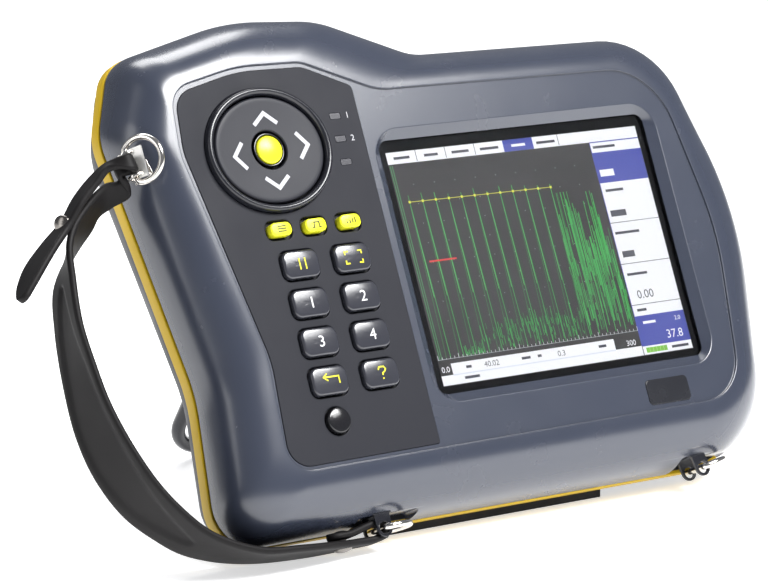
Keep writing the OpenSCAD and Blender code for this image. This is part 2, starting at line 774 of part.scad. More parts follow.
module power_button() {
    dome_r = 16 * u;
    color([0.12, 0.12, 0.14])
        in_place() {
            intersection() {
                post(power_at[0], power_at[1], power_r, -key_top, flange_y + over / 10);
                translate([power_at[0], dome_r - key_top, power_at[1]])
                    sphere(r = dome_r);
            }
            post(power_at[0], power_at[1], power_r + flange_w, flange_y, flange_y + flange_t);
        }
}

module status_lenses() {
    color([0.35, 0.36, 0.4])
        in_place()
            for (z = lens_z)
                slab(outline(box_corners(lens_x, z, lens[0], lens[1], lens[2])), -panel_proud, face_t);
}

module keypad_mat() {
    g = flange_w + well_gap;
    color([0.1, 0.1, 0.11])
        in_place()
            difference() {
                slab(outline(mat_corners), face_t, mat_y);
                for (x = large_x, z = large_z)
                    slab(outline(box_corners(x, z, key_w + 2 * flange_w + key_gap, key_h + 2 * flange_w + key_gap,
                        large_r)), face_t - over, stop_y);
                for (x = small_x)
                    slab(outline(box_corners(x, small_z, small_w + 2 * g, small_h + 2 * g, small_r)),
                        face_t - over, stop_y);
                post(power_at[0], power_at[1], power_r + g, face_t - over, stop_y);
                post(pad_at[0], pad_at[1], ok_r + g, face_t - over, stop_y);
                for (p = screw_at)
                    post(p[0], p[1], boss_r + key_gap, face_t - over, mat_y + over);
            }
}

module keypad_board() {
    color([0.1, 0.35, 0.2])
        in_place()
            difference() {
                slab(outline(mat_corners), mat_y, pcb_y);
                for (p = screw_at)
                    post(p[0], p[1], boss_r + key_gap, mat_y - over, pcb_y + over);
            }
}

module display_window() {
    color([0.1, 0.1, 0.12, 0.4])
        in_place()
            slab(outline(grown(screen_corners, window_rim)), bevel_d, bevel_d + window_t);
}

module lcd_module() {
    color([0.8, 0.85, 0.9])
        in_place()
            slab(outline(grown(screen_corners, lcd_rim)), lcd_y, lcd_y + lcd_t);
}

module lcd_bracket() {
    inner = grown(screen_corners, window_rim + bracket_gap);
    color([0.7, 0.7, 0.72])
        in_place()
            difference() {
                slab(outline(grown(inner, bracket_t)), face_t, lcd_y + lcd_t + bracket_t);
                slab(outline(inner), face_t - over, lcd_y + lcd_t);
                slab(outline(grown(screen_corners, -screen_h / 5)), lcd_y, lcd_y + lcd_t + 2 * over);
            }
}

module main_board() {
    color([0.1, 0.35, 0.2])
        in_place()
            difference() {
                slab(outline(fit([[-78, 28, 4], [-80, 124, 4], [72, 124, 4], [72, 28, 4]])), board_y, board_y + board_t);
                for (p = standoff_at)
                    post(p[0], p[1], screw_r, board_y - over, board_y + board_t + over);
            }
}

module input_shield() {
    can = [46, 26, 5] * u;
    can_at = [24, 92] * u;
    color([0.75, 0.76, 0.78])
        in_place()
            difference() {
                slab(outline(box_corners(can_at[0] + can[0] / 2, can_at[1] + can[1] / 2, can[0], can[1], can[2] / 5)),
                    board_y - can[2], board_y);
                for (k = [1 : 5])
                    post(can_at[0] + can[0] * k / 6, can_at[1] + can[1] / 2, can[2] / 4, board_y - can[2] - over, board_y - can[2] / 2);
            }
}

module alarm_sounder() {
    can_r = 7 * u;
    can_h = 6 * u;
    can_at = [-50, 96] * u;
    color([0.05, 0.05, 0.06])
        in_place()
            difference() {
                post(can_at[0], can_at[1], can_r, board_y - can_h, board_y);
                post(can_at[0], can_at[1], can_r / 6, board_y - can_h - over, board_y - can_h / 2);
            }
}

module badge_plate() {
    color([0.75, 0.76, 0.78])
        in_place()
            slab(outline(box_corners(badge_at[0], badge_at[1], badge[0], badge[1], badge[2])),
                -badge_proud, badge_t - badge_proud);
}

module ring_lugs() {
    color([0.8, 0.8, 0.8])
        in_place() {
            at_upper() ring_lug();
            at_lower() ring_lug();
            at_corner() ring_lug();
        }
}

module upper_ring() {
    color([0.85, 0.85, 0.85])
        in_place()
            at_upper()
                translate([0, 0, lug_rise])
                    d_ring();
}

module lower_ring() {
    color([0.85, 0.85, 0.85])
        in_place()
            at_lower()
                translate([0, 0, lug_rise])
                    d_ring();
}

module corner_ring() {
    color([0.85, 0.85, 0.85])
        in_place()
            at_corner()
                translate([0, 0, lug_rise])
                    d_ring();
}

// What the leather leaves free round the ears of a lug and the bar of its ring
module lug_room() {
    r = ear_r + key_gap;
    for (e = [-ear_in - ear_t - key_gap, ear_in - key_gap]) {
        translate([0, e + ear_t + 2 * key_gap, lug_rise])
            rotate([90, 0, 0])
                cylinder(r = r, h = ear_t + 2 * key_gap);
        translate([-r, e, -over])
            cube([2 * r, ear_t + 2 * key_gap, lug_rise + over]);
    }
    translate([0, ear_in + ear_t, lug_rise])
        rotate([90, 0, 0])
            cylinder(r = ring_wire / 2 + seat_gap, h = 2 * (ear_in + ear_t));
}

module hand_strap() {
    color([0.14, 0.13, 0.14])
        in_place()
            difference() {
                band([for (s = strap_shares) [s[0] * u, s[1] * u]], strap_t);
                for (s = stud_shares)
                    stud(s[0] * u, s[1] * u, seat_gap / 4);
                at_upper() lug_room();
                at_lower() lug_room();
            }
}

// A press stud from one head to the other, grown by a little for its seat
module stud(a, b, g = 0) {
    d = unit(b - a);
    rod(a, b, stud_r + g);
    rod(a - d * g, a + d * (stud_head_h + g), stud_head_r + g);
    rod(b - d * (stud_head_h + g), b + d * g, stud_head_r + g);
}

module strap_studs() {
    color([0.85, 0.85, 0.85])
        in_place()
            for (s = stud_shares)
                stud(s[0] * u, s[1] * u);
}

module battery_pack() {
    color([0.2, 0.2, 0.22])
        in_place()
            slab(outline(box_corners(bay_at[0], bay_at[1], bay[0] - cell_gap, bay[1] - cell_gap, bay_r)),
                bay_floor, housing_y - cover_t);
}

module battery_contacts() {
    color([0.8, 0.65, 0.3])
        in_place()
            for (x = contact_x)
                post(x, contact_z, contact_r, board_y + board_t, bay_floor);
}

module battery_cover() {
    color([0.22, 0.24, 0.3])
        in_place()
            difference() {
                slab(outline(box_corners(bay_at[0], bay_at[1], bay[0] + 2 * cover_rim, bay[1] + 2 * cover_rim,
                    bay_r + cover_rim)), housing_y - cover_t, housing_y);
                for (ex = [-1, 1], ez = [-1, 1]) {
                    post(bay_at[0] + ex * cover_screw[0], bay_at[1] + ez * cover_screw[1],
                        cover_screw_r + screw_fit, housing_y - cover_t - over, housing_y);
                    post(bay_at[0] + ex * cover_screw[0], bay_at[1] + ez * cover_screw[1],
                        cover_head_r + screw_fit, housing_y - cover_head_h, housing_y + over);
                }
                for (k = [-2 : 2])
                    slab(outline(box_corners(bay_at[0], bay_at[1] - bay[1] / 3 + k * cover_t, bay[0] / 3, cover_t / 2, cover_t / 5)),
                        housing_y - cover_t / 4, housing_y + over);
            }
}

module cover_screws() {
    color([0.6, 0.6, 0.62])
        in_place()
            for (ex = [-1, 1], ez = [-1, 1])
                translate([bay_at[0] + ex * cover_screw[0], 0, bay_at[1] + ez * cover_screw[1]])
                    difference() {
                        union() {
                            post(0, 0, cover_screw_r, bay_floor + cover_rim, housing_y - cover_head_h);
                            post(0, 0, cover_head_r, housing_y - cover_head_h, housing_y);
                        }
                        post(0, 0, cover_screw_r, housing_y - cover_head_h / 2, housing_y + over, $fn = 6);
                    }
}

module case_screws() {
    color([0.6, 0.6, 0.62])
        in_place()
            for (p = screw_at)
                difference() {
                    union() {
                        post(p[0], p[1], screw_r, screw_tip, back_y - head_h);
                        post(p[0], p[1], head_r, back_y - head_h, back_y - seat_gap);
                    }
                    post(p[0], p[1], screw_r, back_y - head_h / 2, back_y + over, $fn = 6);
                }
}

// The wire stand, drawn folded flat and swung open about its pivot
module stand_open() {
    translate([0, stand_y, stand_z])
        rotate([open_angle, 0, 0])
            children();
}

module stand_bail() {
    w = stand_wire / 2;
    half = stand_w / 2;
    bend = 3 * stand_wire;
    color([0.08, 0.08, 0.09])
        in_place()
            stand_open() {
                rod([-half + bend, 0, -stand_len], [half - bend, 0, -stand_len], w);
                for (e = [-1, 1]) {
                    rod([e * half, 0, 0], [e * half, 0, bend - stand_len], w);
                    rod([e * half, 0, 0], [e * lug_x[0] + e * over / 2, 0, 0], w);
                    translate([e * half, 0, 0])
                        sphere(r = w);
                    translate([e * (half - bend), 0, bend - stand_len])
                        rotate([90, 0, 0])
                            rotate([0, 0, e > 0 ? -90 : 180])
                                rotate_extrude(angle = 90)
                                    translate([bend, 0])
                                        circle(r = w);
                }
            }
}

module stand_sleeve() {
    color([0.1, 0.1, 0.1])
        in_place()
            stand_open()
                difference() {
                    rod([-sleeve_half, 0, -stand_len], [sleeve_half, 0, -stand_len], sleeve_r);
                    rod([-sleeve_half - over, 0, -stand_len], [sleeve_half + over, 0, -stand_len], stand_wire / 2);
                }
}

// Bearing blocks of the stand, each with a hood that stops the open stand
module stand_lugs() {
    w = stand_wire / 2;
    reach = w + key_gap;
    hood = [w * 1.2, w * 3.2, w * 4.4];
    dir = [sin(open_angle), -cos(open_angle)];
    up = [cos(open_angle), sin(open_angle)];
    p = up * reach;
    color([0.12, 0.12, 0.13])
        in_place()
            for (e = [-1, 1])
                difference() {
                    union() {
                        translate([e > 0 ? lug_x[0] : -lug_x[1], housing_y, stand_z - hood[0] * 1.4])
                            cube([lug_x[1] - lug_x[0], stand_wire + 2 * key_gap + over / 2, hood[1] * 2]);
                        translate([e > 0 ? lug_x[0] : -stand_w / 2 - w, stand_y, stand_z])
                            rotate([90, 0, 90])
                                linear_extrude(stand_w / 2 + w - lug_x[0])
                                    polygon([p, p + dir * hood[0], p + dir * hood[0] * 0.6 + up * hood[0],
                                        [housing_y - stand_y + over, hood[2]], [housing_y - stand_y, hood[2]],
                                        [housing_y - stand_y, p[1]]]);
                    }
                    rod([e * (lug_x[0] - over), stand_y, stand_z], [e * stand_w, stand_y, stand_z], w + stand_fit);
                    for (z = lug_screw_z)
                        post(e * (lug_x[0] + lug_x[1]) / 2, z, cover_screw_r, housing_y - over, housing_y + foot_x);
                }
}

module foot_bar() {
    color([0.08, 0.08, 0.09])
        difference() {
            translate([-foot_x, -foot_half, 0])
                cube([2 * foot_x, 2 * foot_half, foot_drop * 3]);
            in_place()
                skin(rear_rings);
        }
}

// A coaxial probe socket: root, hexagonal nut, barrel and hollow front
module probe_socket(x) {
    color([0.82, 0.82, 0.8])
        in_place()
            translate([x, socket_y, notch_z])
                difference() {
                    union() {
                        translate([0, 0, -socket_root])
                            cylinder(r = socket_bore, h = socket_root);
                        cylinder(r = nut_r, h = nut_h, $fn = 6);
                        translate([0, 0, nut_h])
                            cylinder(r = socket_r, h = socket_len);
                    }
                    translate([0, 0, nut_h])
                        difference() {
                            cylinder(r = socket_bore, h = socket_len + over);
                            cylinder(r = tip_r, h = socket_len - over);
                        }
                }
}

module probe_socket_a() {
    probe_socket(socket_x[0]);
}

module probe_socket_b() {
    probe_socket(socket_x[1]);
}

module data_socket() {
    color([0.6, 0.6, 0.63])
        in_place()
            translate([data_x, data_y, notch_z])
                difference() {
                    translate([-data[0] / 2, -data[1] / 2, -socket_root])
                        cube([data[0], data[1], socket_root + data_len]);
                    difference() {
                        translate([-data[0] / 2 + data_wall, -data[1] / 2 + data_wall, 0])
                            cube([data[0] - 2 * data_wall, data[1] - 2 * data_wall, data_len + over]);
                        translate([-data[0] / 3, -data_wall / 2, 0])
                            cube([data[0] * 2 / 3, data_wall, data_len - data_wall]);
                    }
                }
}

module port_cover() {
    near = data_y - data[1] / 2 - over;
    bend = flap[0] / 2 - hinge_ear - key_gap;
    color([0.09, 0.09, 0.1])
        in_place()
            difference() {
                union() {
                    translate([data_x - flap[0] / 2, near, flap_z - flap_t / 2])
                        cube([flap[0], flap_y - knuckle_r * sqrt(2) - key_gap - near, flap_t]);
                    translate([data_x - bend, near, flap_z - flap_t / 2])
                        cube([2 * bend, flap_y - near, flap_t]);
                    rod([data_x - bend, flap_y, flap_z], [data_x + bend, flap_y, flap_z], knuckle_r);
                    translate([data_x - flap[0] / 6, near - over, flap_z - flap_t / 2])
                        cube([flap[0] / 3, over, flap_t]);
                }
                rod([data_x - flap[0], flap_y, flap_z], [data_x + flap[0], flap_y, flap_z], flap_pin_r + flap_fit);
            }
}

module cover_pin() {
    color([0.6, 0.6, 0.62])
        in_place()
            rod([data_x - flap[0] / 2, flap_y, flap_z], [data_x + flap[0] / 2, flap_y, flap_z], flap_pin_r);
}

front_shell();
rear_shell();
seam_band();
front_gasket();
rear_gasket();
keypad_panel();
pad_ring();
pad_pivot();
pad_disc();
ok_button();
key_menu();
key_gate();
key_gain();
key_freeze();
key_screen();
key_1();
key_2();
key_3();
key_4();
key_recall();
key_help();
power_button();
status_lenses();
keypad_mat();
keypad_board();
display_window();
lcd_module();
lcd_bracket();
main_board();
input_shield();
alarm_sounder();
badge_plate();
ring_lugs();
upper_ring();
lower_ring();
corner_ring();
hand_strap();
strap_studs();
battery_pack();
battery_contacts();
battery_cover();
cover_screws();
case_screws();
stand_bail();
stand_sleeve();
stand_lugs();
foot_bar();
probe_socket_a();
probe_socket_b();
data_socket();
port_cover();
cover_pin();
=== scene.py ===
# %% [markdown]
# # An ultrasonic flaw detector, piece by piece
#
# The object is a portable test instrument: a cushion-shaped plastic case with a keypad on the left,
# a colour display on the right, a bright band round its waist, a leather hand strap on steel rings
# and a wire stand behind. Every cell below makes one piece the way it could be made and says why.
#
# All shapes are drawn in **case coordinates**: millimetres, x to the right, y from the front face
# towards the back and z up, with the flat face at y = 0. One function then leans the case back onto
# its foot and turns millimetres into metres, so that no number is ever converted by hand.

# %%
import json
import math

import bpy
import numpy as np
from mathutils import Matrix, Vector
from mathutils.geometry import delaunay_2d_cdt

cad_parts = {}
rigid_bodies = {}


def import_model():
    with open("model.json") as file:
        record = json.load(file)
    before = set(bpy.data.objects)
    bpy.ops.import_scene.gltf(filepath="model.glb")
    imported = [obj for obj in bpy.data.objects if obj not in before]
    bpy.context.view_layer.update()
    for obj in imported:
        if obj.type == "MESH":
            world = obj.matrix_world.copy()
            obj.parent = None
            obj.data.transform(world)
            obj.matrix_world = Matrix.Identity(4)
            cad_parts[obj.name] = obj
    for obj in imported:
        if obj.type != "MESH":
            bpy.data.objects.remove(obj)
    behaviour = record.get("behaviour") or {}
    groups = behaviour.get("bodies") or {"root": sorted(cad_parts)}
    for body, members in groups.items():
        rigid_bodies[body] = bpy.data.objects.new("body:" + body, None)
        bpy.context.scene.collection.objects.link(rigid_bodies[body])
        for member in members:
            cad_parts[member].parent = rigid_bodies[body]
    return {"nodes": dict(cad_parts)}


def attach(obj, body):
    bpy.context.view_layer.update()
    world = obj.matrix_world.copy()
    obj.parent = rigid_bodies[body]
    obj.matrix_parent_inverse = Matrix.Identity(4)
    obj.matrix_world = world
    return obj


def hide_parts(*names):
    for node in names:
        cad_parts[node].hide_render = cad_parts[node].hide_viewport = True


for default in list(bpy.data.objects):
    bpy.data.objects.remove(default)
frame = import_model()
bpy.context.view_layer.update()
rng = np.random.default_rng(7)

# %% [markdown]
# ## The lean
# The case stands on its foot bar and on the wire stand, tipped back by 25 degrees. `place` does the
# same turn for every point of every piece.

# %%
LEAN = math.radians(25)
FOOT_Y, FOOT_Z, FOOT_DROP = 35.0, 1.9, 1.5
SOLE_Y = FOOT_Y * math.cos(LEAN) + FOOT_Z * math.sin(LEAN)
SOLE_Z = FOOT_Z * math.cos(LEAN) - FOOT_Y * math.sin(LEAN) - FOOT_DROP


def place(points):
    """Case millimetres to frame metres: turn about x by the lean, then drop the sole to zero."""
    p = np.asarray(points, float)
    c, s = math.cos(LEAN), math.sin(LEAN)
    y = p[..., 1] * c + p[..., 2] * s - SOLE_Y
    z = -p[..., 1] * s + p[..., 2] * c - SOLE_Z
    return np.stack([p[..., 0], y, z], -1) / 1000


print("sole at", round(SOLE_Y, 3), round(SOLE_Z, 3))

# %% [markdown]
# ## Outlines
# A case outline is a short list of corners, each with a radius. `outline` swaps every corner for an
# arc that touches both sides, so all lines run smoothly into each other. Two outlines with the same
# number of corners get the same number of points, and can be blended into one surface.

# %%
def unit(v):
    """Vectors scaled to length one."""
    return v / np.maximum(np.linalg.norm(v, axis=-1, keepdims=True), 1e-12)


def outline(corners, arc=10, run=6):
    """Corner i becomes arc + 1 points on a circle of its radius, tangent to both sides; the straight
    piece after it gets run - 1 more."""
    c = np.asarray(corners, float)
    at, r = c[:, :2], c[:, 2:]
    u = unit(np.roll(at, 1, 0) - at)
    v = unit(np.roll(at, -1, 0) - at)
    half = np.arccos(np.clip((u * v).sum(1, keepdims=True), -1, 1)) / 2
    mid = at + unit(u + v) * r / np.sin(half)
    p = at + u * r / np.tan(half) - mid
    q = at + v * r / np.tan(half) - mid
    start = np.arctan2(p[:, 1], p[:, 0])
    turn = (np.arctan2(q[:, 1], q[:, 0]) - start + 3 * np.pi) % (2 * np.pi) - np.pi
    a = start[:, None] + turn[:, None] * np.linspace(0, 1, arc + 1)
    curve = mid[:, None] + r[:, None] * np.stack([np.cos(a), np.sin(a)], -1)
    t = np.linspace(0, 1, run + 1)[1:-1, None]
    straight = curve[:, -1:] * (1 - t) + np.roll(curve[:, :1], -1, 0) * t
    return np.concatenate([curve, straight], 1).reshape(-1, 2)


def grown(corners, d):
    """The same outline moved outwards by d: each corner slides along the bisector, and its radius
    grows or shrinks with it."""
    c = np.asarray(corners, float)
    at = c[:, :2]
    a, e = unit(at - np.roll(at, 1, 0)), unit(np.roll(at, -1, 0) - at)
    m = np.stack([-a[:, 1], a[:, 0]], -1)
    q = np.stack([-e[:, 1], e[:, 0]], -1)
    side = np.sign(a[:, 0] * e[:, 1] - a[:, 1] * e[:, 0])
    p = at + (m + q) * d / (1 + (m * q).sum(1, keepdims=True))
    return np.column_stack([p, np.maximum(c[:, 2] - side * d, 0.05)])


def box_corners(x, z, w, h, r):
    """Four corners of a rounded box round (x, z), clockwise from the lower left."""
    return np.array([[x - w / 2, z - h / 2, r], [x - w / 2, z + h / 2, r],
                     [x + w / 2, z + h / 2, r], [x + w / 2, z - h / 2, r]])


def oval(x, z, rx, rz, steps=144):
    """Clockwise ellipse seen from the front: start at the left, go up."""
    a = math.pi - np.arange(steps) * 2 * math.pi / steps
    return np.stack([x + rx * np.cos(a), z + rz * np.sin(a)], -1)


def at_depth(line, y):
    """A flat outline stood up at the depth y."""
    line = np.asarray(line, float)
    return np.stack([line[:, 0], np.full(len(line), float(y)), line[:, 1]], -1)


BODY = [[-112.4, 0, 14], [-107, 51, 60], [-120, 138, 21], [-110.6, 162, 13], [-66, 172.4, 80],
        [-32, 170.2, 41], [3.4, 155.3, 25], [101, 154, 29], [123.3, 89, 120], [105.4, 0, 34]]
FACE = [[-92.6, 18.2, 9], [-90.6, 57, 40], [-104.4, 125, 24], [-102.6, 147, 10], [-76, 152.6, 60],
        [-51.4, 152.2, 13], [-24, 140.4, 24], [90.5, 139.2, 24], [100.5, 78.4, 100], [92.4, 19.6, 18]]
PANEL = [[-91.4, 20, 7.5], [-89, 55, 38], [-102.6, 125.5, 22], [-100.8, 145, 8.5],
         [-76, 150.6, 58], [-51.2, 150.2, 10], [-33.8, 142.3, 2.5], [-33.8, 20.6, 1]]
print("points on the case outline:", len(outline(BODY)))

# %% [markdown]
# ## Surfaces
# Everything is built from two kinds of patches: a **skin** over a stack of rings, and a flat
# **plate** with holes. Both are written as whole arrays and welded where they meet.

# %%
def skin(rings):
    """Points and quads between neighbouring rings, which run front to back and clockwise."""
    rings = np.asarray(rings, float)
    m, n = rings.shape[:2]
    k, i = np.meshgrid(np.arange(m - 1), np.arange(n), indexing="ij")
    j = (i + 1) % n
    quad = np.stack([k * n + i, k * n + j, (k + 1) * n + j, (k + 1) * n + i], -1).reshape(-1, 4)
    return rings.reshape(-1, 3), quad


def within(points, loop):
    """Winding test of many points against one closed loop: edges that pass upwards on the left count
    one, downwards minus one."""
    x, y = points[:, None, 0], points[:, None, 1]
    x0, y0 = loop[None, :, 0], loop[None, :, 1]
    x1, y1 = np.roll(x0, -1, 1), np.roll(y0, -1, 1)
    side = (x1 - x0) * (y - y0) - (x - x0) * (y1 - y0)
    up, down = (y0 <= y) & (y1 > y) & (side > 0), (y0 > y) & (y1 <= y) & (side < 0)
    return up.sum(1) != down.sum(1)


def plate(outer, holes, y=0.0, back=False):
    """Flat sheet at depth y: one face, or with holes a constrained triangulation between the loops."""
    if not len(holes):
        x, z = np.asarray(outer, float).T
        turn = (x * np.roll(z, -1) - np.roll(x, -1) * z).sum()
        face = np.arange(len(x))
        return at_depth(outer, y), [face[::-1] if (turn < 0) != back else face]
    loops = [np.asarray(outer, float)] + [np.asarray(h, float) for h in holes]
    points = np.concatenate(loops)
    starts = np.cumsum([0] + [len(l) for l in loops])
    spans = zip(starts[:-1], starts[1:])
    edges = [(s + i, s + (i + 1) % (e - s)) for s, e in spans for i in range(e - s)]
    out, _, tris, *_ = delaunay_2d_cdt([Vector(p) for p in points], edges, [], 0, 1e-5)
    flat = np.array([list(v) for v in out])
    tris = np.array([list(t) for t in tris if len(t) == 3])
    middle = flat[tris].mean(1)
    keep = within(middle, loops[0])
    for h in loops[1:]:
        keep &= ~within(middle, h)
    tris = tris[keep]
    a, b, c = flat[tris[:, 0]], flat[tris[:, 1]], flat[tris[:, 2]]
    turn = (b[:, 0] - a[:, 0]) * (c[:, 1] - a[:, 1]) - (b[:, 1] - a[:, 1]) * (c[:, 0] - a[:, 0])
    wrong = (turn < 0) != back
    tris[wrong] = tris[wrong][:, ::-1]
    return at_depth(flat, y), tris


def turned(x, z, profile, steps):
    """A piece turned about the depth axis through (x, z): profile is (radius, depth) from the front
    middle outwards and back."""
    return skin([at_depth(oval(x, z, max(r, 1e-4), max(r, 1e-4), steps), y) for r, y in profile])


def standing(name, data):
    """A new object with the given data, linked to the scene."""
    obj = bpy.data.objects.new(name, data)
    bpy.context.scene.collection.objects.link(obj)
    return obj


def coordinates(mesh):
    """All points of a mesh as rows of an array."""
    co = np.empty(len(mesh.vertices) * 3)
    mesh.vertices.foreach_get("co", co)
    return co.reshape(-1, 3)


def baked(obj):
    """Mesh of an object as its modifiers or its font leave it."""
    bpy.context.view_layer.update()
    return bpy.data.meshes.new_from_object(obj.evaluated_get(bpy.context.evaluated_depsgraph_get()))


def taken(obj):
    """Points and faces of an object as baked; the mesh made on the way is removed."""
    mesh = baked(obj)
    co, faces = coordinates(mesh), [list(p.vertices) for p in mesh.polygons]
    bpy.data.meshes.remove(mesh)
    return co, faces


def simple(loop):
    """Parts of a face that touches itself at a corner: it is split there until no corner comes twice."""
    loop = [v for n, v in enumerate(loop) if v != loop[n - 1]]
    for i, v in enumerate(loop):
        if v in loop[i + 1:]:
            j = loop.index(v, i + 1)
            return simple(loop[i:j]) + simple(loop[j:] + loop[:i])
    return [loop] if len(loop) > 2 else []


def make(name, *patches, sharp=32.0, placed=False):
    """Patches to one mesh object: points within a thousandth of a millimetre are welded, faces level
    in depth stay flat, edges over the angle stay sharp. With placed, it stays in case coordinates."""
    points, faces, offset = [], [], 0
    for p, f in patches:
        points.append(p)
        faces += [[int(v) + offset for v in face] for face in f]
        offset += len(p)
    points = np.concatenate(points)
    key, where = np.unique(np.round(points, 3), axis=0, return_inverse=True)
    where = where.reshape(-1)
    clean = []
    for f in faces:
        clean += simple([int(where[i]) for i in f])
    mesh = bpy.data.meshes.new(name)
    mesh.from_pydata((key / 1000 if placed else place(key)).tolist(), [], clean)
    obj = standing(name, mesh)
    smooth(obj, sharp)
    if not placed:
        level = np.array([np.ptp(key[g, 1]) < 1e-6 for g in clean])
        mesh.polygons.foreach_set("use_smooth", ~level)
    mesh.validate()
    return obj


def smooth(obj, sharp):
    """Smooth shading with hard edges where two faces meet at more than the given angle."""
    obj.data.shade_smooth()
    obj.data.set_sharp_from_angle(angle=math.radians(sharp))


def finish_piece(obj, body, look, nodes):
    """Gives a piece its surface and the body it moves with, and hides the CAD nodes it stands for."""
    obj.data.materials.clear()
    obj.data.materials.append(look)
    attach(obj, body)
    if nodes:
        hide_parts(*nodes)
    print(f"{obj.name}: {len(obj.data.polygons)} faces")
    return obj


# %% [markdown]
# ## Surface effects shared by all materials
# Three small node groups do the work that every moulded or machined surface needs. They only give
# out a colour, a value or a height; the shader itself stays in each material, where it can be read.
#
# * **tone** - moulding flow and handling never leave one flat colour, so two close tones are mixed
#   by a slow noise.
# * **sheen** - roughness that wanders a little, so that highlights break up.
# * **grain** - the fine texture of a spark-eroded mould, as a height for the Bump node.

# %%
def group(name, inputs, outputs):
    """A new shader node group with named sockets, and its input and output nodes."""
    g = bpy.data.node_groups.new(name, "ShaderNodeTree")
    for label, kind, value in inputs:
        s = g.interface.new_socket(name=label, in_out="INPUT", socket_type=kind)
        s.default_value = value
    for label, kind in outputs:
        g.interface.new_socket(name=label, in_out="OUTPUT", socket_type=kind)
    return g, g.nodes.new("NodeGroupInput"), g.nodes.new("NodeGroupOutput")


def noise_in(g, gin, detail):
    """Object coordinates into a noise texture whose scale comes from the group's Scale input."""
    coord = g.nodes.new("ShaderNodeTexCoord")
    noise = g.nodes.new("ShaderNodeTexNoise")
    noise.inputs["Detail"].default_value = detail
    g.links.new(coord.outputs["Object"], noise.inputs["Vector"])
    g.links.new(gin.outputs["Scale"], noise.inputs["Scale"])
    return noise


FLOAT, COLOUR = "NodeSocketFloat", "NodeSocketColor"

tone, gin, gout = group("tone", [("Scale", FLOAT, 20.0), ("First", COLOUR, (0.1, 0.1, 0.1, 1)),
                                 ("Second", COLOUR, (0.2, 0.2, 0.2, 1))], [("Colour", COLOUR)])
noise = noise_in(tone, gin, 3)
mix = tone.nodes.new("ShaderNodeMix")
mix.data_type = "RGBA"
tone.links.new(noise.outputs["Fac"], mix.inputs["Factor"])
tone.links.new(gin.outputs["First"], mix.inputs["A"])
tone.links.new(gin.outputs["Second"], mix.inputs["B"])
tone.links.new(mix.outputs["Result"], gout.inputs["Colour"])

sheen, gin, gout = group("sheen", [("Scale", FLOAT, 60.0), ("Smooth", FLOAT, 0.3), ("Rough", FLOAT, 0.4)],
                         [("Roughness", FLOAT)])
noise = noise_in(sheen, gin, 4)
span = sheen.nodes.new("ShaderNodeMapRange")
sheen.links.new(noise.outputs["Fac"], span.inputs["Value"])
span.inputs["From Min"].default_value = 0.3
span.inputs["From Max"].default_value = 0.7
sheen.links.new(gin.outputs["Smooth"], span.inputs["To Min"])
sheen.links.new(gin.outputs["Rough"], span.inputs["To Max"])
sheen.links.new(span.outputs["Result"], gout.inputs["Roughness"])

grain, gin, gout = group("grain", [("Scale", FLOAT, 2500.0)], [("Height", FLOAT)])
noise = noise_in(grain, gin, 2)
grain.links.new(noise.outputs["Fac"], gout.inputs["Height"])


def srgb(*c):
    """Display values of 0 to 255 to linear light."""
    c = np.array(c, float) / 255
    return tuple(np.where(c <= 0.04045, c / 12.92, ((c + 0.055) / 1.055) ** 2.4).tolist())


def surface(name, first, second, rough, level=0.5, metal=0.0, bump=0.0, scale=2500.0,
            coat=0.0, coat_rough=0.1, mottle=20.0):
    """A Principled material fed by the three groups; first and second are the two tones, as display
    values. Without a second tone, the first is mixed with one 12 per cent brighter. Rough is the
    range of roughness, level the strength of the sheen, bump the depth of the grain in mm."""
    first = srgb(*first)
    second = srgb(*second) if second else [c * 1.12 for c in first]
    m = bpy.data.materials.new(name)
    m.use_nodes = True
    nodes, links = m.node_tree.nodes, m.node_tree.links
    bsdf = nodes["Principled BSDF"]
    t = nodes.new("ShaderNodeGroup")
    t.node_tree = tone
    t.inputs["Scale"].default_value = mottle
    t.inputs["First"].default_value = (*first, 1)
    t.inputs["Second"].default_value = (*second, 1)
    links.new(t.outputs["Colour"], bsdf.inputs["Base Color"])
    s = nodes.new("ShaderNodeGroup")
    s.node_tree = sheen
    s.inputs["Scale"].default_value = 60.0
    s.inputs["Smooth"].default_value, s.inputs["Rough"].default_value = rough
    links.new(s.outputs["Roughness"], bsdf.inputs["Roughness"])
    bsdf.inputs["Metallic"].default_value = metal
    bsdf.inputs["Specular IOR Level"].default_value = level
    bsdf.inputs["Coat Weight"].default_value = coat
    bsdf.inputs["Coat Roughness"].default_value = coat_rough
    if bump:
        g = nodes.new("ShaderNodeGroup")
        g.node_tree = grain
        g.inputs["Scale"].default_value = scale
        b = nodes.new("ShaderNodeBump")
        b.inputs["Strength"].default_value = 1.0
        b.inputs["Distance"].default_value = bump / 1000
        links.new(g.outputs["Height"], b.inputs["Height"])
        links.new(b.outputs["Normal"], bsdf.inputs["Normal"])
    return m


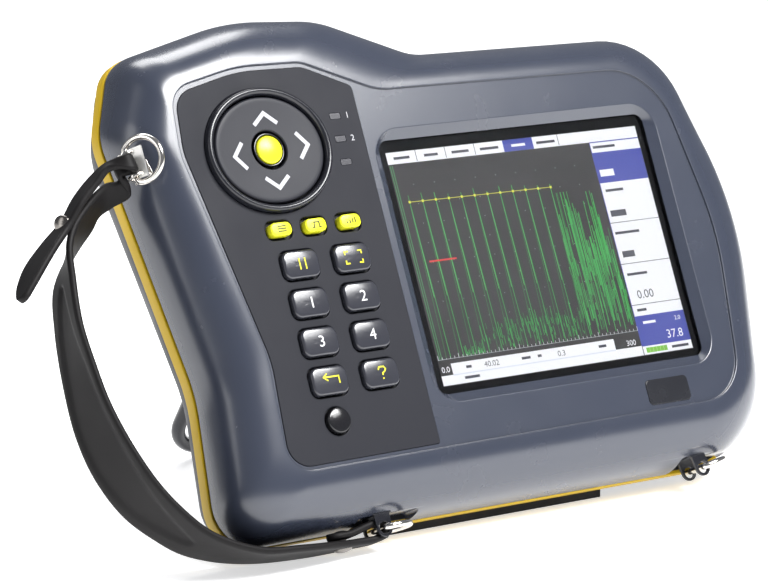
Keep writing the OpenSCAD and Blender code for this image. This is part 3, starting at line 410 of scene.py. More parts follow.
SHELL = surface("shell_plastic", (48, 53, 66), (51, 56, 70), (0.24, 0.28), 0.8,
                bump=0.002, scale=1800, coat=0.35, coat_rough=0.2)
# painted shade: the rear shell is the same slate plastic as the front, darkened here to stand in for the
# shade it lies in
REAR_PAINTED_SHADE = surface("rear_plastic_painted_shade", (30, 32, 39), (34, 36, 43), (0.45, 0.55), 0.3, bump=0.006, scale=1800)
BUMPER = surface("yellow_band", (192, 158, 10), (202, 168, 16), (0.4, 0.5), 0.35)
GASKET = surface("black_rubber", (16, 16, 18), None, (0.5, 0.65), 0.3)
PANEL_FILM = surface("keypad_film", (29, 30, 37), (33, 34, 41), (0.5, 0.58), 0.22, bump=0.004, scale=2600)
TRIM = surface("dark_trim", (28, 29, 35), None, (0.18, 0.26), 0.6)
PAD = surface("pad_plastic", (34, 35, 42), None, (0.4, 0.48), 0.3, bump=0.003)
YELLOW = surface("key_yellow", (226, 226, 36), (234, 234, 44), (0.28, 0.36), 0.5)
GREY = surface("key_grey", (46, 47, 54), (50, 51, 58), (0.16, 0.24), 0.7, coat=0.4, coat_rough=0.12)
DARK = surface("power_dark", (24, 24, 27), None, (0.12, 0.2), 0.6)
LENS = surface("lens_grey", (50, 50, 56), None, (0.2, 0.3), 0.5)
MARK = surface("mark_grey", (178, 178, 184), None, (0.4, 0.5), 0.4)
LEGEND = surface("legend_yellow", (205, 200, 40), None, (0.4, 0.5), 0.4)
LEGEND_DARK = surface("legend_dark", (70, 68, 20), None, (0.4, 0.5), 0.4)
LEGEND_WHITE = surface("legend_white", (225, 225, 228), None, (0.4, 0.5), 0.4)
BLACK = surface("black_border", (9, 9, 11), None, (0.08, 0.14), 0.6)
CHROME = surface("bright_steel", (214, 210, 205), (222, 218, 212), (0.1, 0.18), metal=1.0)
BRIGHT = surface("keeper_steel", (236, 234, 230), None, (0.35, 0.45), metal=0.8)
STUD = surface("stud_steel", (120, 116, 112), (134, 130, 126), (0.16, 0.26), metal=1.0)
STEEL = surface("plain_steel", (150, 150, 152), None, (0.28, 0.4), metal=1.0)
LEATHER = surface("strap_leather", (13, 11, 12), (18, 16, 17), (0.5, 0.6), 0.22,
                  bump=0.02, scale=900, mottle=60)
BADGE = surface("badge_dark", (30, 31, 36), None, (0.2, 0.3), 0.5)
BOARD = surface("circuit_green", (20, 70, 40), None, (0.4, 0.5))
GOLD = surface("contact_gold", (210, 170, 80), None, (0.2, 0.3), metal=1.0)
RUBBER = surface("foot_rubber", (26, 26, 28), None, (0.6, 0.75), 0.3, bump=0.03, scale=1200)
COVER = surface("cover_plastic", (60, 65, 82), None, (0.4, 0.5), 0.45, bump=0.01, scale=1600)
SOCKET = surface("socket_metal", (190, 190, 192), None, (0.16, 0.28), metal=1.0)
PORT = surface("port_black", (22, 22, 24), None, (0.4, 0.5), 0.4)
print("materials:", len(bpy.data.materials))

# %% [markdown]
# ## Carving and joining
# A real mould leaves pockets for the ring lugs. They are cut with exact booleans while the piece is
# still in case millimetres; the result comes back as points and faces and is welded like the rest.

# %%
def raw(name, patches):
    """Welded mesh object in plain case millimetres, for carving only."""
    obj = make(name, *patches, placed=True)
    obj.data.vertices.foreach_set("co", coordinates(obj.data).ravel() * 1000)
    obj.data.update()
    return obj


def carve(patches, *tools, how="DIFFERENCE"):
    """Closed patches cut by or joined to closed tools, one exact boolean each, as one patch."""
    body = raw("blank", patches)
    cutters = [raw("tool", tool) for tool in tools]
    for cutter in cutters:
        mod = body.modifiers.new("cut", "BOOLEAN")
        mod.operation, mod.solver, mod.object = how, "EXACT", cutter
    result = taken(body)
    for o in [body, *cutters]:
        bpy.data.objects.remove(o)
    return result


def prism(line, y0, y1):
    """A closed straight block through the outline between two depths."""
    wall = skin([at_depth(line, y0), at_depth(line, y1)])
    return [plate(line, (), y0), wall, plate(line, (), y1, back=True)]


def spline(points, n):
    """Cubic Hermite curve through the rows of an array, n samples evenly spread over the chord
    lengths; the slope at a row comes from its two neighbours."""
    p = np.asarray(points, float)
    flat = p.reshape(len(p), -1)
    t = np.concatenate([[0], np.cumsum(np.linalg.norm(np.diff(flat, axis=0), axis=1))])
    slope = np.gradient(flat, t, axis=0)
    x = np.linspace(0, t[-1], n)
    k = np.clip(np.searchsorted(t, x, side="right") - 1, 0, len(t) - 2)
    h = (t[k + 1] - t[k])[:, None]
    s = ((x - t[k])[:, None]) / h
    out = ((2 * s**3 - 3 * s**2 + 1) * flat[k] + (s**3 - 2 * s**2 + s) * h * slope[k]
           + (3 * s**2 - 2 * s**3) * flat[k + 1] + (s**3 - s**2) * h * slope[k + 1])
    return out.reshape(n, *p.shape[1:])


def eased(ease, top):
    """Offsets and depths of a rolled edge: e * (1 - cos t) inwards and e * (1 - sin t) down."""
    quarter = np.radians(np.linspace(0, 90, 5))
    return [(ease * (1 - math.cos(t)), top + ease * (1 - math.sin(t))) for t in quarter]


def hole_rim(corners, top, deep, ease):
    """Wall and eased edge of a hole: up from the deep end, then rolled outwards onto the face.
    Returns the patch and the loop that the face must leave open."""
    steps = [(0, deep), *eased(ease, top)]
    return skin([at_depth(outline(grown(corners, d)), y) for d, y in steps]), outline(grown(corners, ease))


def edge_rim(corners, top, deep, ease):
    """Eased outer edge and side wall of a flat piece: from the face out and down to the deep end."""
    steps = [(-d, y) for d, y in eased(ease, top)[::-1]] + [(0, deep)]
    return skin([at_depth(outline(grown(corners, d)), y) for d, y in steps]), outline(grown(corners, -ease))


# %% [markdown]
# ## Front shell
# The case front is one injection moulding. Its edge is a quarter ellipse that swells from the flat
# face out to the seam, like a cushion. The face itself lies 0.8 mm lower than the rim of the cushion,
# so a crisp line runs all round it. A shallow bevel leads down to the display.

# %%
FRONT_DEPTH, RIM_Y, FRONT_WALL, POCKET_Y = 20.0, -0.8, 4.6, 5.6
BAND_Y, REAR_Y, BACK_Y, HOUSING_Y = 21.0, 27.0, 46.0, 64.0
SCREEN = box_corners(27.6, 79.8, 110.5, 86.8, 3.5)
BEVEL = box_corners(27.6, 79.8, 116.9, 93.2, 10)
BEVEL_D = 2.4
BADGE_AT, BADGE_DEEP = (62, 25.8), 0.65
PLATE = box_corners(*BADGE_AT, 17.9, 8.7, 1.65)
HOLLOW = outline(grown(BODY, -12.5))

face_line, seam_line = outline(FACE), outline(BODY)
step = [(-0.62, 0.0), (-0.5, -0.03), (-0.42, -0.12), (-0.4, -0.3),
        (-0.4, -0.5), (-0.36, -0.66), (-0.24, -0.77), (-0.1, RIM_Y)]
rings = [at_depth(outline(grown(FACE, d)), y) for d, y in step]
for t in np.radians(np.linspace(0, 90, 41)):
    rings.append(at_depth(face_line + (seam_line - face_line) * math.sin(t),
                          RIM_Y + (FRONT_DEPTH - RIM_Y) * (1 - math.cos(t))))
rings.append(at_depth(HOLLOW, FRONT_DEPTH))
rings.append(at_depth(HOLLOW, FRONT_WALL))
rings.append(rings[0])

pockets = [prism(outline(box_corners(-53, -30, 24, 65.2, 1.2)), POCKET_Y, FRONT_DEPTH + 10),
           prism(outline(box_corners(79, -30, 24, 66.8, 1.2)), POCKET_Y, FRONT_DEPTH + 10)]
cushion = carve([skin(rings)], *pockets)

panel_hole = outline(grown(PANEL, 0.1))
slope = [at_depth(outline(SCREEN), BEVEL_D + 0.6)]
for s in np.linspace(0.0, 1.0, 7):
    slope.append(at_depth(outline(SCREEN) * (1 - s) + outline(BEVEL) * s, BEVEL_D * (1 - s) + 0.12 * s))
slope.append(at_depth(outline(grown(BEVEL, 0.12)), 0.03))
slope.append(at_depth(outline(grown(BEVEL, 0.32)), 0.0))
fascia = plate(outline(grown(FACE, -0.62)), [panel_hole, outline(grown(BEVEL, 0.32)), outline(PLATE)])
walls = [skin([at_depth(panel_hole, 1.3), at_depth(panel_hole, 0)]),
         skin([at_depth(outline(PLATE), BADGE_DEEP), at_depth(outline(PLATE), 0)]), skin(slope)]
front = make("case_front", cushion, fascia, *walls, sharp=34)
finish_piece(front, "case", SHELL, ["front_shell"])

# %% [markdown]
# ## Bumper band and gaskets
# Between the two shells lies a bright bumper band with a thin black gasket on either side. The band
# stands a little proud so that it takes the knocks; its edges are eased.

# %%
def belt(name, y0, y1, out, ease, look, node):
    """A closed ring round the case: inner wall, two sides and an eased outer wall that stands out by
    the given distance."""
    front = [(out - d, y) for d, y in eased(ease, y0)[::-1]]
    steps = [(out - 2 * ease, y0), *front, *[(d, y0 + y1 - y) for d, y in front[::-1]], (out - 2 * ease, y1)]
    loops = [at_depth(outline(grown(BODY, d)), y) for d, y in steps]
    loops = [at_depth(HOLLOW, y0), *loops, at_depth(HOLLOW, y1), at_depth(HOLLOW, y0)]
    finish_piece(make(name, skin(loops), sharp=40), "case", look, [node])


belt("bumper_band", BAND_Y, BAND_Y + 5, 0.3, 0.5, BUMPER, "seam_band")
belt("gasket_front", FRONT_DEPTH, BAND_Y, -1.0, 0.2, GASKET, "front_gasket")
belt("gasket_rear", BAND_Y + 5, REAR_Y, -0.9, 0.2, GASKET, "rear_gasket")

# %% [markdown]
# ## Keypad panel
# The keypad is a separate moulded plate let into the face with a hairline gap. Every hole has an
# eased edge, so that each key sits in a soft shadow line.

# %%
LARGE_X, LARGE_Z = [-70.3, -50.65], [84.75, 71.84, 58.93, 46.02]
SMALL_X, SMALL_Z = [-74.75, -61.5, -48.2], 96.9
PAD_X, PAD_Z = -71.5, 123.4
LENS_X, LENS_Z = -43.1, [132.6, 124.8, 116.9]
POWER_X, POWER_Z = -70.3, 33
LARGE, SMALL = (13.4, 9.2, 2.6), (8.0, 4.5, 1.9)
PANEL_Y, PANEL_DEEP, WELL, SMALL_WELL = -0.3, 1.3, 0.55, 1.0

windows = [(x, z, LARGE[0] + 2 * WELL, LARGE[1] + 2 * WELL, LARGE[2] + WELL, 0.3)
           for x in LARGE_X for z in LARGE_Z]
windows += [(x, SMALL_Z, SMALL[0] + 2 * SMALL_WELL, SMALL[1] + 2 * SMALL_WELL, SMALL[2] + WELL, 0.3)
            for x in SMALL_X]
windows += [(LENS_X, z, 4.3, 2.2, 0.6, 0.12) for z in LENS_Z]
rim, loop = edge_rim(PANEL, PANEL_Y, PANEL_DEEP, 0.25)
holes, parts = [], [rim]
for *box, ease in windows:
    rim, hole = hole_rim(box_corners(*box), PANEL_Y, PANEL_DEEP, ease)
    parts.append(rim)
    holes.append(hole)
for x, z, rx, rz in [(POWER_X, POWER_Z, 4.75, 4.75), (PAD_X, PAD_Z, 23.4, 21.0)]:
    steps = [(0, PANEL_DEEP), (0, 0.0), (0.05, -0.2), (0.3, PANEL_Y)]
    parts.append(skin([at_depth(oval(x, z, rx + d, rz + d), y) for d, y in steps]))
    holes.append(oval(x, z, rx + 0.3, rz + 0.3))
parts.append(plate(loop, holes, PANEL_Y))
well = plate(outline(grown(PANEL, -0.5)), [oval(PAD_X, PAD_Z, 20.7, 18.3)], PANEL_DEEP - 0.02)
finish_piece(make("keypad_plate", *parts), "case", PANEL_FILM, ["keypad_panel"])
finish_piece(make("keypad_wells", well), "case", GASKET, ())

# %% [markdown]
# ## Keys
# The caps are cushions: straight walls, a rolled edge and a top that bows along its height. The
# wells around them are half a millimetre to one millimetre wide, so that no key rubs.

# %%
KEY_TOP, KEY_DEEP, PILLOW_R, SIDE_RISE = -2.4, 4.9, 34.0, 0.35


def key_surface(x, z, w):
    """Depth of a cap's top: R - sqrt(R^2 - (zz - z)^2) below its crest, plus 0.35 ((xx - x) / (w/2))^2."""
    return lambda xx, zz: (KEY_TOP + (PILLOW_R - np.sqrt(PILLOW_R**2 - (zz - z) ** 2))
                           + SIDE_RISE * ((xx - x) / (w / 2)) ** 2)


def cap(x, z, w, h, r, roll=0.75):
    """Rings moving inwards from the wall: the rolled edge is a quarter circle, the top is a cylinder
    about the x direction plus a slight fall to both sides."""
    corners = box_corners(x, z, w, h, r)
    a = np.radians(np.linspace(0, 90, 7))
    inset = list(roll * (1 - np.cos(a))) + list(np.linspace(roll, h / 2 - 0.5, 9)[1:])
    drop = list(roll * (1 - np.sin(a))) + [0.0] * 8
    loops = []
    for d, extra in zip(inset, drop):
        line = outline(grown(corners, -d), 6, 6)
        p = at_depth(line, 0)
        p[:, 1] = key_surface(x, z, w)(line[:, 0], line[:, 1]) + extra
        loops.append(p)
    wall = at_depth(outline(corners, 6, 6), KEY_DEEP)
    ordered = [wall, *loops][::-1]
    ordered.insert(0, np.repeat([[x, KEY_TOP, z]], len(wall), 0))
    return skin(ordered)


KEYS = {"key_menu": (0, None), "key_gate": (1, None), "key_gain": (2, None), "key_freeze": (0, 0),
        "key_screen": (1, 0), "key_1": (0, 1), "key_2": (1, 1), "key_3": (0, 2), "key_4": (1, 2),
        "key_recall": (0, 3), "key_help": (1, 3)}
for node, (i, j) in KEYS.items():
    if j is None:
        piece, look, slot = cap(SMALL_X[i], SMALL_Z, *SMALL, 0.6), YELLOW, "key_yellow"
    else:
        piece, look, slot = cap(LARGE_X[i], LARGE_Z[j], *LARGE), GREY, "key_grey"
    finish_piece(make("cap_" + node, piece), node + "_body", look, [node])


def dome(x, z, r, bow):
    """A round button: spherical top of radius bow, rolled edge of 0.5 mm, straight wall."""
    roll = 0.5
    a = np.radians(np.linspace(15, 90, 6))
    rho = np.concatenate([np.linspace(0, r - roll, 10), r - roll + roll * np.sin(a)])
    top = KEY_TOP + bow - np.sqrt(bow**2 - rho**2)
    top[10:] += roll * (1 - np.cos(a))
    return turned(x, z, list(zip(rho, top)) + [(r, KEY_DEEP)], 72)


for name, piece, look, node, slot in [
        ("ok_cap", dome(PAD_X, PAD_Z, 4.7, 13), YELLOW, "ok_button", "key_yellow"),
        ("power_cap", dome(POWER_X, POWER_Z, 4.2, 16), DARK, "power_button", "button_dark")]:
    finish_piece(make(name, piece), node + "_body", look, [node])

# %% [markdown]
# ## Four-way pad
# A raised oval ring frames a disc that rocks in two directions on a small gimbal. The disc is
# slightly dished, so that a thumb finds its middle; four chevrons are printed on it.

# %%
section = spline([[2.6, -1.3], [2.58, 0.3], [2.45, 1.5], [2.0, 2.4], [1.15, 2.78],
                  [0.45, 2.5], [0.1, 1.7], [0, 0.8], [0, -1.3]], 40)
ring = make("pad_frame", skin([at_depth(oval(PAD_X, PAD_Z, 23.3 - d, 20.9 - d), -h) for d, h in section]))
finish_piece(ring, "case", TRIM, ["pad_ring"])

DISC_RX, DISC_RZ, DISC_ROLL, DISC_BORE, DISC_LOW = 20.2, 17.8, 0.8, 6.5, 0.6


def dish(x, z):
    """Depth of the disc's top: an ellipse-shaped dish 0.4 mm deep in the middle."""
    s = ((x - PAD_X) / DISC_RX) ** 2 + ((z - PAD_Z) / DISC_RZ) ** 2
    return -1.66 + 0.4 * np.clip(1 - s, 0, 1)


top_rx, top_rz = DISC_RX - DISC_ROLL, DISC_RZ - DISC_ROLL
loops = []
for rx, rz in zip(np.linspace(DISC_BORE + 0.3, top_rx, 12), np.linspace(DISC_BORE + 0.3, top_rz, 12)):
    p = at_depth(oval(PAD_X, PAD_Z, rx, rz), 0)
    p[:, 1] = dish(p[:, 0], p[:, 2])
    loops.append(p)
base = loops[-1][:, 1].mean()
for a in np.radians(np.linspace(20, 90, 6)):
    edge = oval(PAD_X, PAD_Z, top_rx + DISC_ROLL * math.sin(a), top_rz + DISC_ROLL * math.sin(a))
    loops.append(at_depth(edge, base + DISC_ROLL * (1 - math.cos(a))))
loops.append(at_depth(oval(PAD_X, PAD_Z, DISC_RX, DISC_RZ), DISC_LOW))
bore = oval(PAD_X, PAD_Z, DISC_BORE, DISC_BORE)
inner = [at_depth(bore, DISC_LOW), at_depth(bore, dish(PAD_X, PAD_Z) + 0.3)]
disc = make("pad_disc_top", skin([*inner, *loops]))
finish_piece(disc, "pad_disc_body", PAD, ["pad_disc"])

collar = [(4.95, 3.5), (4.95, -0.9), (5.1, -1.15), (5.3, -1.2), (5.5, -1.15), (5.66, -0.9), (5.66, 3.5)]
finish_piece(make("pad_collar", turned(PAD_X, PAD_Z, collar, 72)), "case", BLACK, ())


INK_LIFT = 0.11


def stroke(points, width, depth):
    """A bent line of constant width lying on a surface: mitred offsets on both sides, lifted a hair."""
    p = np.asarray(points, float)
    d = unit(np.diff(p, axis=0))
    t = unit(np.concatenate([d[:1], d[:-1] + d[1:], d[-1:]]))
    n = np.stack([-t[:, 1], t[:, 0]], -1)
    grow = np.ones(len(p))
    grow[1:-1] = 1 / np.maximum((n[1:-1] * np.stack([-d[1:, 1], d[1:, 0]], -1)).sum(1), 0.3)
    a, b = p + n * width / 2 * grow[:, None], p - n * width / 2 * grow[:, None]
    flat = np.concatenate([a, b])
    y = depth(flat[:, 0], flat[:, 1]) - INK_LIFT
    k = np.arange(len(p) - 1)
    quads = np.stack([k, k + len(p), k + len(p) + 1, k + 1], -1)
    return np.stack([flat[:, 0], y, flat[:, 1]], -1), quads


marks = []
for x, z, dx, dz in [(-70.8, 134.4, 0, 1), (-83.9, 122.2, -1, 0),
                     (-58.1, 123.7, 1, 0), (-71.3, 111.7, 0, -1)]:
    tip = np.array([x + dx * 1.2, z + dz * 1.2])
    side = np.array([abs(dz), abs(dx)]) * 4.4
    back = np.array([dx, dz]) * 3.7
    one, two = tip - back - side, tip - back + side
    marks.append(stroke([one, (one + tip * 3) / 4, tip, (two + tip * 3) / 4, two], 1.35, dish))
finish_piece(make("pad_chevrons", *marks), "pad_disc_body", MARK, ())

# %% [markdown]
# ## Display
# A clear window lies under the bevel, printed black round its edge. Behind it sits the display
# picture. It is not a photograph: it is built from small flat coloured quads, each with its colour
# stored on its corners, and the material simply lets that colour glow.

# %%
ACTIVE = (28.0, 79.4, 105.2, 80.4)
WINDOW_BACK, MASK_Y, MASK_BACK, TEXT_Y, PICTURE_Y, LAYER_STEP = 3.9, 4.0, 4.08, 4.41, 4.46, 0.012
LEFT, BOTTOM = ACTIVE[0] - ACTIVE[2] / 2, ACTIVE[1] - ACTIVE[3] / 2
glass_line = outline(grown(SCREEN, 2.1))
glass = surface("window_glass", (255, 255, 255), (255, 255, 255), (0.0, 0.01))
glass.node_tree.nodes["Principled BSDF"].inputs["Transmission Weight"].default_value = 1.0
glass.node_tree.nodes["Principled BSDF"].inputs["IOR"].default_value = 1.2
window = make("window", *prism(glass_line, BEVEL_D, WINDOW_BACK))
finish_piece(window, "case", glass, ["display_window"])
opening = outline(box_corners(*ACTIVE, 0.4))
mask = make("window_mask", plate(glass_line, [opening], MASK_Y),
            plate(glass_line, [opening], MASK_BACK, back=True),
            skin([at_depth(opening, MASK_BACK), at_depth(opening, MASK_Y)]))
finish_piece(mask, "case", BLACK, ())

FIGURE_H = 0.69
tints, quads_xy, layers = [], [], []


def paint(points, colour, layer):
    """Adds one flat quad of the picture: four corners in millimetres from the lower left of the
    active area."""
    quads_xy.append(np.asarray(points, float))
    tints.append(srgb(*colour))
    layers.append(layer)


def bar(u0, v0, u1, v1, colour, layer=1):
    """An upright rectangle of the picture."""
    paint([[u0, v0], [u1, v0], [u1, v1], [u0, v1]], colour, layer)


def line(a, b, width, colour, layer=3):
    """A straight stroke of the picture."""
    a, b = np.array(a, float), np.array(b, float)
    n = unit(np.array([a[1] - b[1], b[0] - a[0]])) * width / 2
    paint([a - n, b - n, b + n, a + n], colour, layer)


def digits(text, height):
    """Plain numbers as flat faces, centred on the origin, with the given height of a figure."""
    curve = bpy.data.curves.new("figures", "FONT")
    curve.body = text
    curve.align_x, curve.align_y = "CENTER", "CENTER"
    curve.resolution_u = 3
    obj = standing("figures", curve)
    co, faces = taken(obj)
    co = co[:, :2] * height / FIGURE_H
    co -= (co.max(0) + co.min(0)) / 2
    bpy.data.objects.remove(obj)
    bpy.data.curves.remove(curve)
    return co, faces


WHITE, PALE, BLUE, NIGHT = (243, 245, 250), (216, 222, 234), (52, 66, 168), (6, 8, 9)
INK, GREEN, DIM = (58, 62, 74), (52, 172, 74), (30, 112, 50)
W, H = ACTIVE[2], ACTIVE[3]
COLUMN = 83.9
bar(0, 0, W, H, NIGHT, 0)
bar(0.3, 76.1, W - 0.3, H - 0.2, WHITE)
tabs = [0.3, 12.1, 24.0, 36.0, 47.9, 60.3, 71.0]
bar(tabs[4], 76.1, tabs[5], H - 0.2, BLUE, 2)
for u in [*tabs[1:4], tabs[6]]:
    bar(u - 0.12, 76.4, u + 0.12, H - 0.2, INK, 2)
for k, length in enumerate([6.4, 5.6, 7.0, 7.6, 5.8, 7.8]):
    mid = (tabs[k] + tabs[k + 1]) / 2
    bar(mid - length / 2, 77.6, mid + length / 2, 78.5, WHITE if k == 4 else INK, 3)
bar(COLUMN, 75.8, W - 0.3, 76.2, BLUE, 2)
bar(COLUMN, 3.4, W - 0.3, 75.8, WHITE)
bar(COLUMN - 0.25, 3.4, COLUMN, 76.0, BLUE, 2)
bar(COLUMN, 61.4, W - 0.3, 72.3, BLUE, 2)
bar(COLUMN, 3.3, W - 0.3, 13.9, BLUE, 2)
for v in [47.1, 32.4, 17.8]:
    bar(COLUMN, v - 0.12, W - 0.3, v + 0.12, INK, 2)
bar(COLUMN, 0.3, W - 0.3, 3.3, WHITE)
bar(85.2, 0.9, 94.2, 2.7, (120, 190, 60), 2)
for k in range(1, 6):
    bar(85.2 + 1.5 * k - 0.08, 0.9, 85.2 + 1.5 * k + 0.08, 2.7, (180, 225, 140), 3)
for u, v, length, tall, colour in [
        (89.5, 74.2, 9.5, 0.9, INK), (88.0, 64.9, 6.0, 2.4, WHITE), (89.2, 58.6, 7.6, 0.9, INK),
        (88.4, 50.4, 6.6, 2.2, INK), (90.0, 43.4, 10.4, 0.9, INK), (88.2, 35.8, 5.2, 2.2, INK),
        (89.6, 28.6, 8.6, 0.9, INK), (87.6, 15.9, 4.0, 0.9, INK), (89.4, 11.4, 5.4, 0.9, WHITE),
        (99.8, 1.8, 7.2, 0.9, INK)]:
    bar(u - length / 2, v - tall / 2, u + length / 2, v + tall / 2, colour, 3)

bar(5.2, 3.4, 72.6, 7.4, WHITE)
bar(0.4, 0.3, 83.6, 3.6, WHITE)
bar(5.2, 3.3, 72.6, 3.7, PALE, 2)
for u, v, length in [(12.0, 5.1, 2.2), (35.4, 5.1, 3.6), (41.0, 5.1, 1.6), (67.4, 5.1, 3.2),
                     (12.4, 1.6, 6.0)]:
    bar(u - length / 2, v, u + length / 2, v + 0.9, INK, 3)

for column in range(1, 10):
    for row in range(1, 9):
        u, v = column * 8.36, 8.9 + row * 6.72 + 6.0
        bar(u - 0.13, v - 0.13, u + 0.13, v + 0.13, (150, 160, 160), 2)
for k in range(51):
    u = 0.8 + 82.8 * k / 50
    tall = 1.5 if k % 5 == 0 else 0.8
    bar(u - 0.09, 9.0, u + 0.09, 9.0 + tall, (220, 224, 228), 3)
bar(0.7, 8.95, 83.6, 9.1, (170, 176, 180), 3)

for u in [0.9, 1.7]:
    line([u, 75.6], [u + 0.5, 9.2], 0.22, (60, 150, 80))
for k in range(12):
    u = 5.0 + 5.26 * k
    peak = 64.6 - 0.12 * k + rng.uniform(-0.5, 1.2)
    line([u, peak], [u - 0.9, 9.3], 0.2, DIM)
    line([u, peak], [u + 0.85, 9.3], 0.24, GREEN)
    line([u, peak], [u + 0.25, 30], 0.16, (90, 200, 100))
for _ in range(150):
    u = rng.uniform(12, 62)
    tall = 1.0 + 9.0 * rng.random() ** 2.2 * (0.35 + 0.65 * (u - 12) / 50)
    foot = 9.3 + rng.uniform(0, 8) * (u > 20)
    line([u, foot], [u + rng.uniform(-0.2, 0.2), foot + tall], 0.2, GREEN if rng.random() > 0.4 else DIM)
for _ in range(210):
    u = rng.uniform(62, 83.2)
    hill = 44 * math.exp(-((u - 67) / 5.0) ** 2) + 26 * math.exp(-((u - 78) / 5.5) ** 2) + 12
    foot = 11 + rng.uniform(0, 1) * hill * 0.75
    tall = 2.5 + rng.random() ** 1.6 * hill * 0.55
    line([u, foot], [u + rng.uniform(-0.15, 0.15), min(foot + tall, 60)],
         rng.choice([0.2, 0.3, 0.5], p=[0.6, 0.3, 0.1]), GREEN if rng.random() > 0.35 else DIM)
for u, tall in [(64.6, 60), (67.9, 57.5), (71.4, 52), (75.0, 56), (79.2, 58.5)]:
    line([u, tall], [u - 0.3, 10], 0.28, GREEN)
line([5.0, 62.8], [63.0, 62.2], 0.22, (214, 214, 70), 4)
for k in range(12):
    u, v = 5.0 + 5.27 * k, 62.8 - 0.055 * k
    bar(u - 0.42, v - 0.42, u + 0.42, v + 0.42, (226, 226, 70), 5)
bar(6.9, 41.8, 17.9, 42.4, (222, 40, 40), 4)

flat = np.concatenate(quads_xy)
depth = PICTURE_Y - LAYER_STEP * np.repeat(np.array(layers, float), 4)
points = np.stack([LEFT + flat[:, 0], depth, BOTTOM + flat[:, 1]], -1)
mesh = bpy.data.meshes.new("display_picture")
mesh.from_pydata(place(points).tolist(), [], np.arange(len(points)).reshape(-1, 4).tolist())
colour = mesh.color_attributes.new("paint", "FLOAT_COLOR", "CORNER")
values = np.column_stack([np.repeat(np.array(tints), 4, 0), np.ones(len(points))])
colour.data.foreach_set("color", values.ravel())
picture = standing("display_picture", mesh)


def glowing(name, source, base=(0.01, 0.01, 0.01, 1), rough=0.5):
    """A nearly black material that sends out the colour of one source node."""
    look = bpy.data.materials.new(name)
    look.use_nodes = True
    bsdf, node = look.node_tree.nodes["Principled BSDF"], look.node_tree.nodes.new(source)
    bsdf.inputs["Base Color"].default_value = base
    bsdf.inputs["Roughness"].default_value = rough
    bsdf.inputs["Emission Strength"].default_value = 1.0
    look.node_tree.links.new(node.outputs["Color"], bsdf.inputs["Emission Color"])
    return look, node


glow, stored = glowing("screen_glow", "ShaderNodeVertexColor", (0.01, 0.01, 0.012, 1), 0.6)
stored.layer_name = "paint"
finish_piece(picture, "case", glow, ())


def figures(text, height, u, v, depth=TEXT_Y):
    """Numbers laid on the display at (u, v) millimetres from its lower left."""
    co, faces = digits(text, height)
    return at_depth(co + [LEFT + u, BOTTOM + v], depth), faces


inked = surface("screen_ink", (40, 44, 56), None, (0.5, 0.6))
dark_text = [figures("40.02", 1.9, 21.2, 5.5), figures("0.3", 1.9, 50.0, 5.3),
             figures("0.00", 2.9, 90.8, 21.3)]
finish_piece(make("display_readings", *dark_text), "case", inked, ())
lit, value = glowing("screen_white", "ShaderNodeRGB")
value.outputs["Color"].default_value = (*srgb(240, 242, 248), 1)
light_text = [figures("0.0", 1.9, 2.7, 5.6), figures("300", 1.9, 79.6, 5.2),
              figures("37.8", 2.9, 98.9, 6.4, 4.40), figures("2.0", 1.5, 101.6, 11.6, 4.40)]
finish_piece(make("display_figures", *light_text), "case", lit, ())

# %% [markdown]
# ## Badge plate and status lenses
# The small plate in the lower right corner is left bare, and so is the field under the keys. The
# three status lenses are flat tinted windows.

# %%
lens_parts = []
for z in LENS_Z:
    rim, loop = edge_rim(box_corners(LENS_X, z, 4.2, 2.1, 0.6), PANEL_Y, 4.4, 0.15)
    lens_parts += [rim, plate(loop, (), PANEL_Y)]
finish_piece(make("status_windows", *lens_parts), "case", LENS, ["status_lenses"])
rim, loop = edge_rim(box_corners(*BADGE_AT, 17.8, 8.6, 1.6), -0.35, BADGE_DEEP, 0.3)
finish_piece(make("badge", rim, plate(loop, (), -0.35)), "case", BADGE, ["badge_plate"])

# %% [markdown]
# ## Printed marks
# The user keys carry plain numbers. The others carry plain signs made of short strokes: three bars
# for a menu, a gate, rising bars for gain, a pause sign, corners for full screen, an arrow for recall.

# %%
def flat_figure(text, height, x, z, top):
    """Numbers laid on a key: the depth follows the key's top, less a hair."""
    co, faces = digits(text, height)
    xx, zz = x + co[:, 0], z + co[:, 1]
    y = top(xx, zz) - INK_LIFT if callable(top) else np.full(len(co), top - 0.03)
    return np.stack([xx, y, zz], -1), faces


for text, node in [("1", "key_1"), ("2", "key_2"), ("3", "key_3"), ("4", "key_4")]:
    i, j = KEYS[node]
    x, z = LARGE_X[i], LARGE_Z[j]
    obj = make("figure_" + node, flat_figure(text, 3.6, x, z, key_surface(x, z, LARGE[0])))
    finish_piece(obj, node + "_body", LEGEND_WHITE, ())
led_text = [flat_figure("1", 2.0, -38.4, 132.6, PANEL_Y), flat_figure("2", 2.0, -38.4, 124.8, PANEL_Y)]
finish_piece(make("lens_figures", *led_text), "case", MARK, ())

